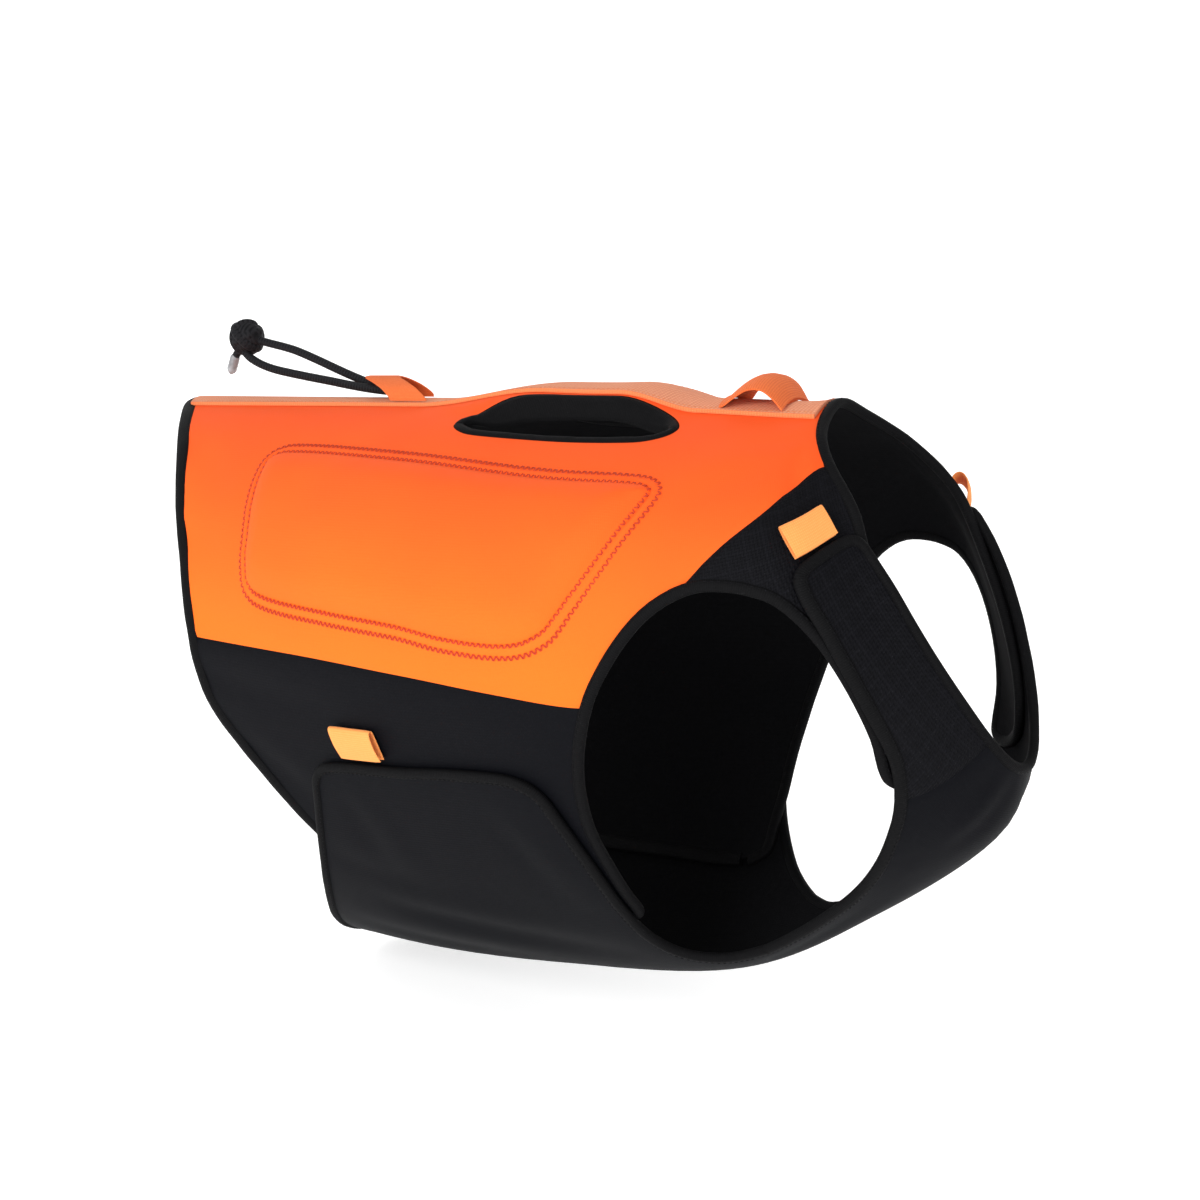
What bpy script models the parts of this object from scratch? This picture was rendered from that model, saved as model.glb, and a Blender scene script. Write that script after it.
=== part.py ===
"""Dog protective vest, filled out as worn and hollow: a saddle piece over the back, a chest and belly
piece outside it with two shoulder straps, foam flank pads, bound edges, a grab handle, two loops and
an elastic cord. Metres, X forward to the neck, Y to the dog's left, Z up. The origin is on the inside
of the back, at the middle of the spine."""

import bpy
import numpy as np
from mathutils.geometry import delaunay_2d_cdt

MM = 0.001

# Cloth heights above the inner form, in mm
CLOTH = 3.0            # neoprene thickness
CHEST_IN = 4.1         # inside of the chest piece, which lies outside the saddle
CHEST_OUT = CHEST_IN + CLOTH
WEBBING_IN = 3.5
WEBBING_OUT = 4.9
WEBBING_HALF = 22.0    # half the width of the spine webbing
SEAM = 0.2             # half the gap at a seam
BIND_WIDE = 4.7        # bound edge, in from the cloth's edge
BIND_CLOTH = 5.0       # where the cloth starts, in from its bound edge
PAD_IN = 3.8
PAD_EDGE = 1.2         # pad thickness at its stitched rim
PAD_DOME = 5.2         # and what the foam adds in the middle
HANDLE_LIFT = 8.9
RIDGE = 6.0            # the withers make the spine stand up by this much toward the neck
CORD = 5.0
KNOT_AT = np.array([-193.8, 0.0, 34.0])
KNOT_RADII = np.array([12.6, 11.2, 11.6])

# Sections of the form, from behind the hem to the neck. top and low are its ends on the middle plane.
# top_x, top_z, low_x, low_z, half_width, egg, square
RINGS = np.array([
    (-300.2, -10.4, -310.4, -316.0, 92.1, 0.01, 0.04),
    (-220.1, -7.7, -215.2, -315.0, 99.5, 0.05, 0.03),
    (-140.0, -5.0, -120.0, -314.0, 106.9, 0.09, 0.02),
    (-60.4, -2.2, -22.2, -311.2, 113.3, 0.13, 0.00),
    (17.0, 0.2, 76.3, -300.1, 117.1, 0.16, -0.02),
    (89.4, -0.7, 173.3, -279.4, 116.3, 0.16, -0.03),
    (152.7, 0.5, 244.1, -237.0, 102.8, 0.17, -0.02),
    (204.9, 1.3, 302.3, -189.1, 87.9, 0.16, -0.01),
    (222.0, 4.8, 318.4, -149.8, 58.6, 0.16, -0.02),
])

# Edges and seams as they lie on the form: station along the rings, degrees round from the spine
HEM = [(0.72, 0), (0.88, 8), (1.19, 21), (1.58, 39), (1.88, 60), (2.03, 75), (2.12, 83), (2.23, 92),
       (2.42, 101), (2.58, 109), (2.74, 118), (2.90, 127), (3.06, 133.5), (3.24, 136)]
SIDE_LOW = [(3.24, 136), (3.60, 136.8), (4.10, 138), (4.50, 139.5), (4.70, 139.5)]
ARMHOLE = [(4.70, 139.5), (4.83, 136), (4.86, 129), (4.90, 121), (4.96, 111), (5.12, 99), (5.36, 87.5),
           (5.54, 80.5), (5.74, 75), (5.93, 71.8), (6.11, 70), (6.27, 69), (6.42, 69), (6.57, 70),
           (6.73, 72), (6.92, 76), (7.06, 83), (7.14, 92), (7.13, 103), (7.04, 115), (6.92, 123),
           (6.89, 128), (6.97, 133), (7.14, 137), (7.40, 140)]
TONGUE = [(7.40, 140), (7.66, 140), (7.88, 136), (8.00, 128), (8.08, 116), (8.14, 102), (8.20, 88),
          (8.30, 76), (8.37, 66), (8.36, 57), (8.30, 48), (8.22, 38), (8.13, 25), (8.06, 12), (8.03, 0)]
SEAM_FLANK = [(1.60, 79), (2.13, 79), (3.13, 79.2), (4.01, 81), (4.76, 83.5), (5.28, 87), (5.70, 90)]
SEAM_YOKE = [(6.05, 74.5), (6.41, 67), (6.63, 62.3), (6.92, 57.6), (7.44, 52.5), (8.10, 49), (8.70, 47)]
SLIT = [(3.98, 20), (4.10, 22.6), (4.28, 23.8), (4.78, 24), (5.46, 24.2), (5.74, 23.7), (5.92, 21),
        (5.95, 17), (5.80, 12.6), (5.50, 10.3), (5.10, 9.6), (4.70, 9.8), (4.35, 11.6), (4.08, 15.5)]
PAD = [(2.46, 35), (2.56, 30.5), (2.80, 29.4), (3.50, 30.4), (4.24, 32), (5.10, 34), (5.81, 36.2),
       (6.06, 38.5), (6.12, 43), (5.98, 50), (5.68, 61), (5.36, 70.5), (5.20, 74), (4.92, 76),
       (4.40, 75), (4.01, 73.2), (3.40, 71.6), (2.84, 70), (2.64, 67.5), (2.57, 62), (2.54, 54), (2.48, 44)]
FLAP = [(2.22, 180), (2.26, 166), (2.36, 152), (2.54, 137), (2.74, 122), (2.93, 108), (3.00, 103),
        (3.12, 100), (3.36, 99), (3.80, 98.6), (4.30, 98), (4.62, 98.6), (4.78, 102), (4.82, 109),
        (4.82, 120), (4.79, 132), (4.79, 143), (4.87, 152), (5.06, 158), (5.32, 159.5)]
LEG = [(5.32, 159.5), (5.55, 158.4), (5.76, 157.2), (6.01, 155), (6.22, 151.5), (6.44, 146),
       (6.65, 139.5), (6.80, 134.5), (6.95, 128), (7.06, 121), (7.13, 111), (7.18, 100), (7.20, 88),
       (7.17, 78), (7.20, 72.5), (7.34, 70), (7.62, 69.5)]
COLLAR = [(7.62, 69.5), (7.92, 70), (8.14, 71), (8.27, 74), (8.31, 81), (8.32, 91), (8.28, 103),
          (8.23, 115), (8.16, 131), (8.09, 145), (8.02, 161), (7.99, 171), (7.98, 180)]
# The left flap is fastened a little further forward, so its leg opening has a rounder corner.
FLAP_LEFT = FLAP[:14] + [(4.83, 117), (4.86, 124), (4.92, 131), (5.02, 139), (5.13, 145), (5.24, 150)]
LEG_LEFT = [(5.24, 150), (5.40, 155), (5.57, 157.3), (5.78, 157.2)] + LEG[3:]
SEAM_STRAP = [(6.50, 127), (7.04, 135), (7.34, 139), (7.78, 145), (8.45, 154)]

COLOURS = {
    "orange": (0.90, 0.16, 0.03), "black": (0.012, 0.012, 0.014), "textured": (0.016, 0.016, 0.018),
    "binding": (0.020, 0.020, 0.021), "webbing": (0.85, 0.30, 0.13), "tab": (0.93, 0.33, 0.06),
    "cord": (0.010, 0.010, 0.011), "clear": (0.75, 0.78, 0.80),
}


# ---- the form ----

def blend(rows, s):
    """Rows of a table at station s, on a smooth curve through them."""
    rows = np.asarray(rows, float)
    s = np.atleast_1d(np.asarray(s, float))
    last = len(rows) - 1
    i = np.clip(np.floor(s).astype(int), 0, last - 1)
    t = (s - i)[:, None]
    before = np.where((i < 1)[:, None], 2 * rows[0] - rows[1], rows[np.maximum(i - 1, 0)])
    after = np.where((i + 2 > last)[:, None], 2 * rows[last] - rows[last - 1],
                     rows[np.minimum(i + 2, last)])
    a, b, c, d = before, rows[i], rows[i + 1], after
    return 0.5 * (2 * b + (c - a) * t + (2 * a - 5 * b + 4 * c - d) * t**2
                  + (3 * b - a - 3 * c + d) * t**3)


def smooth(x, start, end):
    u = np.clip((x - start) / (end - start), 0, 1)
    return u * u * (3 - 2 * u)


def skin(s, a):
    """Points of the inner form, in mm. a runs to 360, and the left side is the first half."""
    s, a = np.broadcast_arrays(np.atleast_1d(np.asarray(s, float)), np.asarray(a, float))
    row = blend(RINGS, s)
    turn = np.radians(a)
    from_spine = (a + 180) % 360 - 180
    y = row[:, 4] * (np.sin(turn) + row[:, 5] * np.sin(2 * turn) + row[:, 6] * np.sin(3 * turn))
    middle, half = (row[:, 0:2] + row[:, 2:4]) / 2, (row[:, 0:2] - row[:, 2:4]) / 2
    ends = middle + half * np.cos(turn)[:, None]
    ridge = RIDGE * smooth(s, 3.4, 6.0) * np.exp(-(from_spine / 13) ** 2)
    return np.stack([ends[:, 0], y, ends[:, 1] + ridge], -1)


def frame_at(s, a):
    """The point, the outward normal and the steps along and round at each place."""
    s, a = np.broadcast_arrays(np.atleast_1d(np.asarray(s, float)), np.asarray(a, float))
    along = (skin(s + 0.005, a) - skin(s - 0.005, a)) / 0.01
    around = (skin(s, a + 0.2) - skin(s, a - 0.2)) / 0.4
    normal = np.cross(around, along)
    normal /= np.linalg.norm(normal, axis=1, keepdims=True)
    point = skin(s, a)
    row = blend(RINGS, s)
    out = point - np.stack([(row[:, 0] + row[:, 2]) / 2, 0 * s, (row[:, 1] + row[:, 3]) / 2], -1)
    normal *= np.sign((normal * out).sum(1, keepdims=True))
    return point, normal, along, around


def lift(s, a, point):
    """How far the handle is pulled up, at this place."""
    rise = smooth(s, 3.35, 4.5) * (1 - smooth(s, 5.2, 5.95))
    near = 1 - smooth(np.abs(point[:, 1]), 27, 39)
    return HANDLE_LIFT * rise * near * (np.cos(np.radians(a)) > 0)


def place(s, a, h):
    point, normal, _, _ = frame_at(s, a)
    point = point + normal * np.reshape(h, (-1, 1))
    point[:, 2] += lift(*np.broadcast_arrays(s, a), point)
    return point


def angle_at(s, y):
    """The angle whose point lies y mm to the left of the middle plane, near the spine."""
    a = np.full(len(np.atleast_1d(s)), 9.0)
    for _ in range(12):
        value, step = skin(s, a)[:, 1], skin(s, a + 0.1)[:, 1]
        a = a - (value - np.abs(y)) * 0.1 / (step - value)
    return a * np.where(np.asarray(y) < 0, -1, 1)


# ---- curves on the form ----

def traced(rows, most=15.0, turn=16.0, closed=False):
    """A smooth curve through the rows, with points at most this far or this much of a turn apart."""
    rows = np.array(rows, float)
    if closed:
        ring = np.vstack([rows[-2:], rows, rows[:3]])
        fine = blend(ring, np.linspace(2, len(rows) + 2, len(rows) * 24 + 1))
    else:
        fine = blend(rows, np.linspace(0, len(rows) - 1, (len(rows) - 1) * 24 + 1))
    points = skin(fine[:, 0], fine[:, 1])
    step = np.diff(points, axis=0)
    length = np.linalg.norm(step, axis=1)
    way = step / length[:, None]
    bend = np.r_[0, np.degrees(np.arccos(np.clip((way[1:] * way[:-1]).sum(1), -1, 1)))]
    cost = np.cumsum(np.maximum(length / most, 0.35 * length / most + bend / turn))
    count = max(2, int(np.ceil(cost[-1])))
    places = np.interp(np.linspace(0, cost[-1], count + 1), np.r_[0, cost], np.arange(len(fine)))
    picked = np.stack([np.interp(places, np.arange(len(fine)), fine[:, k]) for k in (0, 1)], -1)
    return picked[:-1] if closed else picked


def sideways(curve, closed=False):
    """Each point's frame and the direction in the cloth that lies to the left of the curve."""
    point, normal, along, around = frame_at(curve[:, 0], curve[:, 1])
    if closed:
        tangent = np.roll(point, -1, 0) - np.roll(point, 1, 0)
    else:
        tangent = np.gradient(point, axis=0)
    tangent /= np.linalg.norm(tangent, axis=1, keepdims=True)
    left = np.cross(normal, tangent)
    left /= np.linalg.norm(left, axis=1, keepdims=True)
    return point, normal, along, around, left


def moved(curve, distance, closed=False):
    """The curve shifted in the cloth in short steps, to its left for a positive distance."""
    count = max(1, int(np.ceil(abs(distance) / 1.3)))
    for _ in range(count):
        _, _, along, around, left = sideways(curve, closed)
        aim = left * distance / count
        aa, ab, bb = (along**2).sum(1), (along * around).sum(1), (around**2).sum(1)
        fa, fb = (aim * along).sum(1), (aim * around).sum(1)
        det = aa * bb - ab**2
        curve = curve + np.stack([(bb * fa - ab * fb) / det, (aa * fb - ab * fa) / det], -1)
    return curve


def moved_half(curve, distance, at):
    """A half outline shifted in the cloth as if its mirror image across the angle at went with it."""
    other = curve[-2:0:-1].copy()
    other[:, 1] = 2 * at - other[:, 1]
    return moved(np.vstack([curve, other]), distance, closed=True)[:len(curve)]


def inward(curve):
    """1 where the cloth lies to the left of this outline, which sets out from its rearmost part."""
    return 1 if moved(curve, 1.0)[3, 0] > curve[3, 0] else -1


def into_ring(ring):
    """1 where the inside of a closed outline lies to its left, or else -1."""
    return -1 if np.ptp(moved(ring, 1.0, closed=True)[:, 1]) > np.ptp(ring[:, 1]) else 1


FLAT_S = np.linspace(-0.5, 9.0, 400)
FLAT_U = np.r_[0, np.cumsum(np.linalg.norm(np.diff(skin(FLAT_S, 90.0), axis=0), axis=1))]


def flat(curve):
    """The curve on a plane where a millimetre is about a millimetre."""
    return np.stack([np.interp(curve[:, 0], FLAT_S, FLAT_U), 2.2 * curve[:, 1]], -1)


def unflat(points):
    return np.stack([np.interp(points[:, 0], FLAT_U, FLAT_S), points[:, 1] / 2.2], -1)


def inside(points, ring):
    x, y = points[:, 0:1], points[:, 1:2]
    x0, y0 = ring[:, 0], ring[:, 1]
    x1, y1 = np.roll(x0, -1), np.roll(y0, -1)
    crosses = (y0 > y) != (y1 > y)
    with np.errstate(divide="ignore", invalid="ignore"):
        at = x0 + (y - y0) * (x1 - x0) / (y1 - y0)
    return (crosses & (x < at)).sum(1) % 2 == 1


def clearance(points, lines):
    """The distance in the plane from each point to the nearest of the lines."""
    best = np.full(len(points), 1e9)
    for line in lines:
        start, way = line[:-1], np.diff(line, axis=0)
        size = np.maximum((way**2).sum(1), 1e-9)
        part = np.clip(((points[:, None] - start) * way).sum(2) / size, 0, 1)
        best = np.minimum(best, np.linalg.norm(points[:, None] - start - part[..., None] * way,
                                               axis=2).min(1))
    return best


def cut_cloth(outline, lines, holes=(), along=25.0, around=15.0, extra=()):
    """Triangles over everything inside the outline, with an edge along each of the lines."""
    ring = flat(outline)
    closed = [np.vstack([ring, ring[:1]])] + [np.vstack([flat(h), flat(h)[:1]]) for h in holes]
    opened = [flat(line) for line in lines]
    loops = [np.vstack([flat(e), flat(e)[:1]]) for e in extra]
    low, high = ring.min(0), ring.max(0)
    columns = np.arange(low[0] + along / 2, high[0], along)
    grid = np.array([(u, v + (i % 2) * around / 2) for i, u in enumerate(columns)
                     for v in np.arange(low[1], high[1], around)])
    grid = grid[inside(grid, ring)]
    grid = grid[clearance(grid, closed + opened + loops) > 0.45 * around]
    vertices, edges = [], []
    for line in closed + loops:
        edges += [(len(vertices) + i, len(vertices) + (i + 1) % (len(line) - 1))
                  for i in range(len(line) - 1)]
        vertices += list(line[:-1])
    for line in opened:
        edges += [(len(vertices) + i, len(vertices) + i + 1) for i in range(len(line) - 1)]
        vertices += list(line)
    vertices += list(grid)
    result = delaunay_2d_cdt([tuple(map(float, v)) for v in vertices], edges, [], 0, 1e-4)
    points = np.array([tuple(v) for v in result[0]])
    faces = np.array([f for f in result[2]], int)
    middle = points[faces].mean(1)
    keep = inside(middle, ring)
    for hole in holes:
        keep &= ~inside(middle, flat(hole))
    return unflat(points), faces[keep], unflat(middle[keep])


def piece_of(cut, chosen):
    """The chosen triangles of a cut cloth, with only their own points."""
    used, index = np.unique(cut[1][chosen], return_inverse=True)
    return cut[0][used], index.reshape(-1, 3)


def joined(left, right):
    """Two halves made one: the right is turned over to its side, and they share the middle plane's points."""
    places, faces = left
    over, over_faces = right
    shared = np.abs(over[:, 1] - 180) < 1e-3
    middle = np.flatnonzero(np.abs(places[:, 1] - 180) < 1e-3)
    number = np.zeros(len(over), int)
    number[shared] = middle[np.abs(places[middle, 0] - over[shared, :1]).argmin(1)]
    number[~shared] = len(places) + np.arange((~shared).sum())
    over = over[~shared] * (1, -1) + (0, 360)
    return np.vstack([places, over]), np.vstack([faces, number[over_faces][:, ::-1]])


# ---- solids ----

def add_solid(name, points, faces, colour, mirrored=False):
    """One closed body facing out, as its own object."""
    points = np.array(points, float)
    if mirrored:
        points[:, 1] *= -1
    triangles = np.array([(f[0], f[i], f[i + 1]) for f in faces for i in range(1, len(f) - 1)])
    corner = points[triangles]
    volume = (corner[:, 0] * np.cross(corner[:, 1], corner[:, 2])).sum()
    if volume < 0:
        faces = [tuple(reversed(f)) for f in faces]
    mesh = bpy.data.meshes.new(name)
    mesh.from_pydata([tuple(p) for p in points * MM], [], [tuple(map(int, f)) for f in faces])
    mesh.update()
    material = bpy.data.materials.new(name)
    material.use_nodes = True
    shader = material.node_tree.nodes["Principled BSDF"]
    shader.inputs["Base Color"].default_value = (*COLOURS[colour], 1)
    shader.inputs["Roughness"].default_value = 0.85
    mesh.materials.append(material)
    made = bpy.data.objects.new(name, mesh)
    vest.objects.link(made)
    return made


def sheet(name, piece, inner, outer, colour, mirrored=False):
    """A closed shell between two heights over a piece of cloth. The outer height is a number or a function."""
    places, faces = piece
    low = np.full(len(places), inner)
    high = outer(places) if callable(outer) else np.full(len(places), outer)
    points = np.vstack([place(places[:, 0], places[:, 1], high), place(places[:, 0], places[:, 1], low)])
    n = len(places)
    ends = np.vstack([faces[:, [0, 1]], faces[:, [1, 2]], faces[:, [2, 0]]])
    known = {tuple(e) for e in ends}
    walls = [(b, a, a + n, b + n) for a, b in ends if (b, a) not in known]
    return add_solid(name, points, [tuple(f) for f in faces] + [tuple(f[::-1] + n) for f in faces] + walls,
                     colour, mirrored)


def tube(name, sections, colour, closed=False, mirrored=False):
    """A solid through the sections, each a ring of the same number of points."""
    sections = np.asarray(sections, float)
    count, around = sections.shape[:2]
    faces = []
    for i in range(count if closed else count - 1):
        j = (i + 1) % count
        for k in range(around):
            m = (k + 1) % around
            faces.append((i * around + k, i * around + m, j * around + m, j * around + k))
    if not closed:
        faces.append(tuple(range(around))[::-1])
        faces.append(tuple((count - 1) * around + k for k in range(around)))
    return add_solid(name, sections.reshape(-1, 3), faces, colour, mirrored)


def binding(name, curve, low, high, toward=1, part=None, closed=False, mirrored=False, start=0.0):
    """A rounded band along the cloth's edge, or along a part of it given by its first and last points.
    toward is the side that the cloth lies on."""
    wide, soft = BIND_WIDE + start, 1.3
    lines = {b: moved(curve, toward * b, closed) if b else curve for b in (start, start + soft, wide)}
    shape = [(start, low + soft), (start, high - soft), (start + soft, high), (wide, high),
             (wide, low), (start + soft, low)]
    sections = np.stack([place(lines[b][:, 0], lines[b][:, 1], h) for b, h in shape], 1)
    if part:
        sections = sections[part[0]:part[1] + 1]
    if not closed:
        for end, near in ((0, 1), (-1, -2)):
            way = sections[near] - sections[end]
            sections[end] += way * 0.25 / np.linalg.norm(way, axis=1).min()
    return tube(name, sections, colour="binding", closed=closed, mirrored=mirrored)


def strip(name, rows, thick, colour, mirrored=False):
    """A flat tape. rows is a grid of points across by along its middle, and thick its thickness."""
    rows = np.asarray(rows, float)
    along, across = np.gradient(rows, axis=0), np.gradient(rows, axis=1)
    normal = np.cross(along, across)
    normal /= np.linalg.norm(normal, axis=2, keepdims=True)
    upper, lower = rows + normal * thick / 2, rows - normal * thick / 2
    sections = np.concatenate([upper, lower[:, ::-1]], axis=1)
    return tube(name, sections, colour, mirrored=mirrored)


def round_tube(name, path, width, colour, sides=8):
    """A round bar along the path."""
    path = np.asarray(path, float)
    tangent = np.gradient(path, axis=0)
    tangent /= np.linalg.norm(tangent, axis=1, keepdims=True)
    side = np.cross(tangent, (0, 0, 1.0))
    side /= np.linalg.norm(side, axis=1, keepdims=True)
    up = np.cross(side, tangent)
    turns = np.arange(sides) * 2 * np.pi / sides
    rings = [path + width / 2 * (side * np.cos(t) + up * np.sin(t)) for t in turns]
    return tube(name, np.stack(rings, 1), colour)


# ---- start ----

for old in list(bpy.data.objects):
    bpy.data.objects.remove(old)
vest = bpy.data.collections.new("dog_vest")
bpy.context.scene.collection.children.link(vest)

# ---- saddle: back, side and shoulder panels ----

EDGE = {name: traced(rows) for name, rows in
        (("hem", HEM), ("low", SIDE_LOW), ("armhole", ARMHOLE), ("tongue", TONGUE))}
saddle_edge = np.vstack([EDGE["hem"], EDGE["low"][1:], EDGE["armhole"][1:], EDGE["tongue"][1:]])
SADDLE_SIDE = inward(saddle_edge)
saddle_cloth = moved_half(saddle_edge, BIND_CLOTH * SADDLE_SIDE, 0)
middle_gap = 0.12
saddle_cloth[:, 1] = np.maximum(saddle_cloth[:, 1], middle_gap)
rear, front = saddle_cloth[0, 0], saddle_cloth[-1, 0]
spine = np.array([(s, middle_gap) for s in np.linspace(front, rear, 24)[1:-1]])
saddle_outline = np.vstack([saddle_cloth, spine])

flank = traced(SEAM_FLANK)
yoke = traced(SEAM_YOKE)
slit = traced(SLIT, most=14, turn=20, closed=True)
flank_lines = [moved(flank, SEAM), moved(flank, -SEAM)]
yoke_lines = [moved(yoke, SEAM), moved(yoke, -SEAM)]
WEBBING_S = np.r_[0.9, np.arange(1.15, 3.2, 0.27), np.arange(3.25, 7.4, 0.2), 7.42, 7.62]
webbing_lines = [np.stack([WEBBING_S[1:-1], angle_at(WEBBING_S[1:-1], y)], -1)
                 for y in (WEBBING_HALF / 2, WEBBING_HALF)]
saddle = cut_cloth(saddle_outline, flank_lines + yoke_lines + webbing_lines, holes=[slit])


def beyond(middle, lines):
    """Where the middles lie, 1 below both lines, -1 above both, 0 between them."""
    first = np.interp(middle[:, 0], lines[0][:, 0], lines[0][:, 1])
    second = np.interp(middle[:, 0], lines[1][:, 0], lines[1][:, 1])
    return np.where(middle[:, 1] > np.maximum(first, second), 1,
                    np.where(middle[:, 1] < np.minimum(first, second), -1, 0))


at_flank = np.where(saddle[2][:, 0] < 5.65, beyond(saddle[2], flank_lines), -1)
at_yoke = np.where(saddle[2][:, 0] > 6.1, beyond(saddle[2], yoke_lines), -1)

for side, mirrored in (("left", False), ("right", True)):
    back = piece_of(saddle, (at_flank == -1) & (at_yoke == -1))
    sheet("back_panel_" + side, back, 0, CLOTH, "orange", mirrored)
    sheet("side_panel_" + side, piece_of(saddle, at_flank == 1), 0, CLOTH, "black", mirrored)
    sheet("shoulder_panel_" + side, piece_of(saddle, at_yoke == 1), 0, CLOTH, "textured", mirrored)

# ---- chest and belly piece, with its straps ----

strap_seam = traced(SEAM_STRAP)
strap_lines = [moved(strap_seam, SEAM), moved(strap_seam, -SEAM)]
chest = {}
for side, flap, leg in (("left", FLAP_LEFT, LEG_LEFT), ("right", FLAP, LEG)):
    rows = [traced(flap), traced(leg), traced(COLLAR)]
    edge = np.vstack([rows[0], rows[1][1:], rows[2][1:]])
    CHEST_SIDE = inward(edge)
    cloth = moved_half(edge, BIND_CLOTH * CHEST_SIDE, 180)
    cloth[0, 1] = cloth[-1, 1] = 180
    cloth[:, 1] = np.minimum(cloth[:, 1], 180)
    keel = np.array([(s, 180.0) for s in np.linspace(cloth[-1, 0], cloth[0, 0], 22)[1:-1]])
    cut = cut_cloth(np.vstack([cloth, keel]), strap_lines)
    at_strap = np.where(cut[2][:, 0] > 6.55, beyond(cut[2], strap_lines), 1)
    chest[side] = {"edge": edge, "flap": len(rows[0]) - 1, "leg": len(rows[1]) - 1,
                   "body": piece_of(cut, at_strap == 1), "strap": piece_of(cut, at_strap == -1)}
sheet("chest_panel", joined(chest["left"]["body"], chest["right"]["body"]), CHEST_IN, CHEST_OUT, "black")
for side, mirrored in (("left", False), ("right", True)):
    sheet("strap_" + side, chest[side]["strap"], CHEST_IN, CHEST_OUT, "textured", mirrored)

# ---- flank pads ----

pad = traced(PAD, most=20, turn=22, closed=True)
PAD_SIDE = into_ring(pad)
pad_rings = [moved(pad, PAD_SIDE * d, closed=True) for d in (8.0, 16.0)]
pad_cut = cut_cloth(pad, [], along=24, around=16, extra=pad_rings)
pad_line = [np.vstack([flat(pad), flat(pad)[:1]])]


def pad_top(places):
    """The foam swells in from the stitched rim."""
    return PAD_IN + PAD_EDGE + PAD_DOME * smooth(clearance(flat(places), pad_line), 5, 26) ** 0.8


for side, mirrored in (("left", False), ("right", True)):
    sheet("flank_pad_" + side, pad_cut[:2], PAD_IN, pad_top, "orange", mirrored)

# ---- bound edges ----


def both_sides(left, right, at):
    """The left half of a curve and the right one, turned over, joined where they meet the middle plane."""
    over = right[::-1] * (1, -1) + (0, 2 * at)
    return np.vstack([over[:-1], left]) if abs(left[0, 1] - at) < 1e-6 else np.vstack([left, over[1:]])


SADDLE_LOW, SADDLE_HIGH = -0.6, 3.5
CHEST_LOW, CHEST_HIGH = CHEST_IN, CHEST_OUT + 0.6
h, l, m = (len(EDGE[name]) - 1 for name in ("hem", "low", "armhole"))
hem_half, neck_half = saddle_edge[:h + l + 1], saddle_edge[h + l + m:]
for name, half in (("hem_binding", hem_half), ("neck_binding", neck_half)):
    curve = both_sides(half, half, 0)
    binding(name, curve, SADDLE_LOW, SADDLE_HIGH, SADDLE_SIDE, (1, len(curve) - 2))
belly = [chest[side]["edge"][:chest[side]["flap"] + 2] for side in ("left", "right")]
collar = [chest[side]["edge"][chest[side]["flap"] + chest[side]["leg"] - 1:] for side in ("left", "right")]
for name, halves in (("belly_binding", belly), ("collar_binding", collar)):
    curve = both_sides(*halves, 180)
    binding(name, curve, CHEST_LOW, CHEST_HIGH, CHEST_SIDE, (1, len(curve) - 2))

for side, mirrored in (("left", False), ("right", True)):
    binding("armhole_binding_" + side, saddle_edge, SADDLE_LOW, SADDLE_HIGH, SADDLE_SIDE,
            (h + l, h + l + m + 1), mirrored=mirrored)
    start = chest[side]["flap"]
    binding("leg_binding_" + side, chest[side]["edge"], CHEST_LOW, CHEST_HIGH, CHEST_SIDE,
            (start, start + chest[side]["leg"]), mirrored=mirrored)
    binding("slit_binding_" + side, slit, SADDLE_LOW, SADDLE_HIGH + 0.3, into_ring(slit), closed=True,
            mirrored=mirrored, start=0.3)

# ---- spine webbing ----

across = WEBBING_HALF * np.array([-1, -0.5, 0, 0.5, 1])
upper, lower = [], []
for y in across:
    stations = WEBBING_S.copy()
    rear_angle = abs(angle_at(stations[:1], y + 1e-3)[0])
    stations[0] = np.interp(rear_angle, saddle_cloth[:h, 1], saddle_cloth[:h, 0]) + 0.02
    angle = angle_at(stations, y + 1e-3)
    upper.append(place(stations, angle, WEBBING_OUT))
    lower.append(place(stations, angle, WEBBING_IN))
tube("spine_webbing", np.concatenate([np.stack(upper, 1), np.stack(lower[::-1], 1)], axis=1), "webbing")

# ---- loops ----

# station, height of the tape's middle over the form
LEASH_LOOP = [(6.10, 5.95), (6.16, 6.4), (6.24, 9.0), (6.36, 12.4), (6.48, 15.2), (6.60, 16.8),
              (6.71, 16.6), (6.80, 14.4), (6.86, 10.8), (6.87, 9.2), (6.873, 8.0)]
LEASH_HALF = 19.0
loop_rows = []
for station, height in LEASH_LOOP:
    ys = np.linspace(-LEASH_HALF, LEASH_HALF, 6)
    base = place(station, angle_at(np.full(len(ys), station), ys), WEBBING_OUT)
    straight = smooth(height, 6, 13)
    base[:, 2] += height - WEBBING_OUT + straight * (base[:, 2].max() - base[:, 2])
    loop_rows.append(base)
strip("leash_loop", loop_rows, 1.7, "tab")

# x and y of the tape's middle and its height over the webbing, from the near foot to the top
REAR_LOOP = [(-45, -19.2, 1.2), (-47, -19.0, 3.2), (-55, -16.4, 7.2), (-67, -11.0, 10.2), (-77, -5.2, 11.6),
             (-80, 0.0, 12.0)]
REAR_WIDE = 27.0
rear_path = REAR_LOOP + [(x, -y, z) for x, y, z in REAR_LOOP[-2::-1]]
rear_rows = []
for x, y, z in rear_path:
    xs = x + np.linspace(-REAR_WIDE / 2, REAR_WIDE / 2, 4)
    spine_s = np.interp(xs, skin(FLAT_S, 0.0)[:, 0], FLAT_S)
    base = place(spine_s, angle_at(spine_s, y + 1e-3), WEBBING_OUT)
    rear_rows.append(np.stack([xs, np.full(4, y), base[:, 2] + z], -1))
strip("rear_loop", rear_rows, 1.6, "tab")

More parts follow.
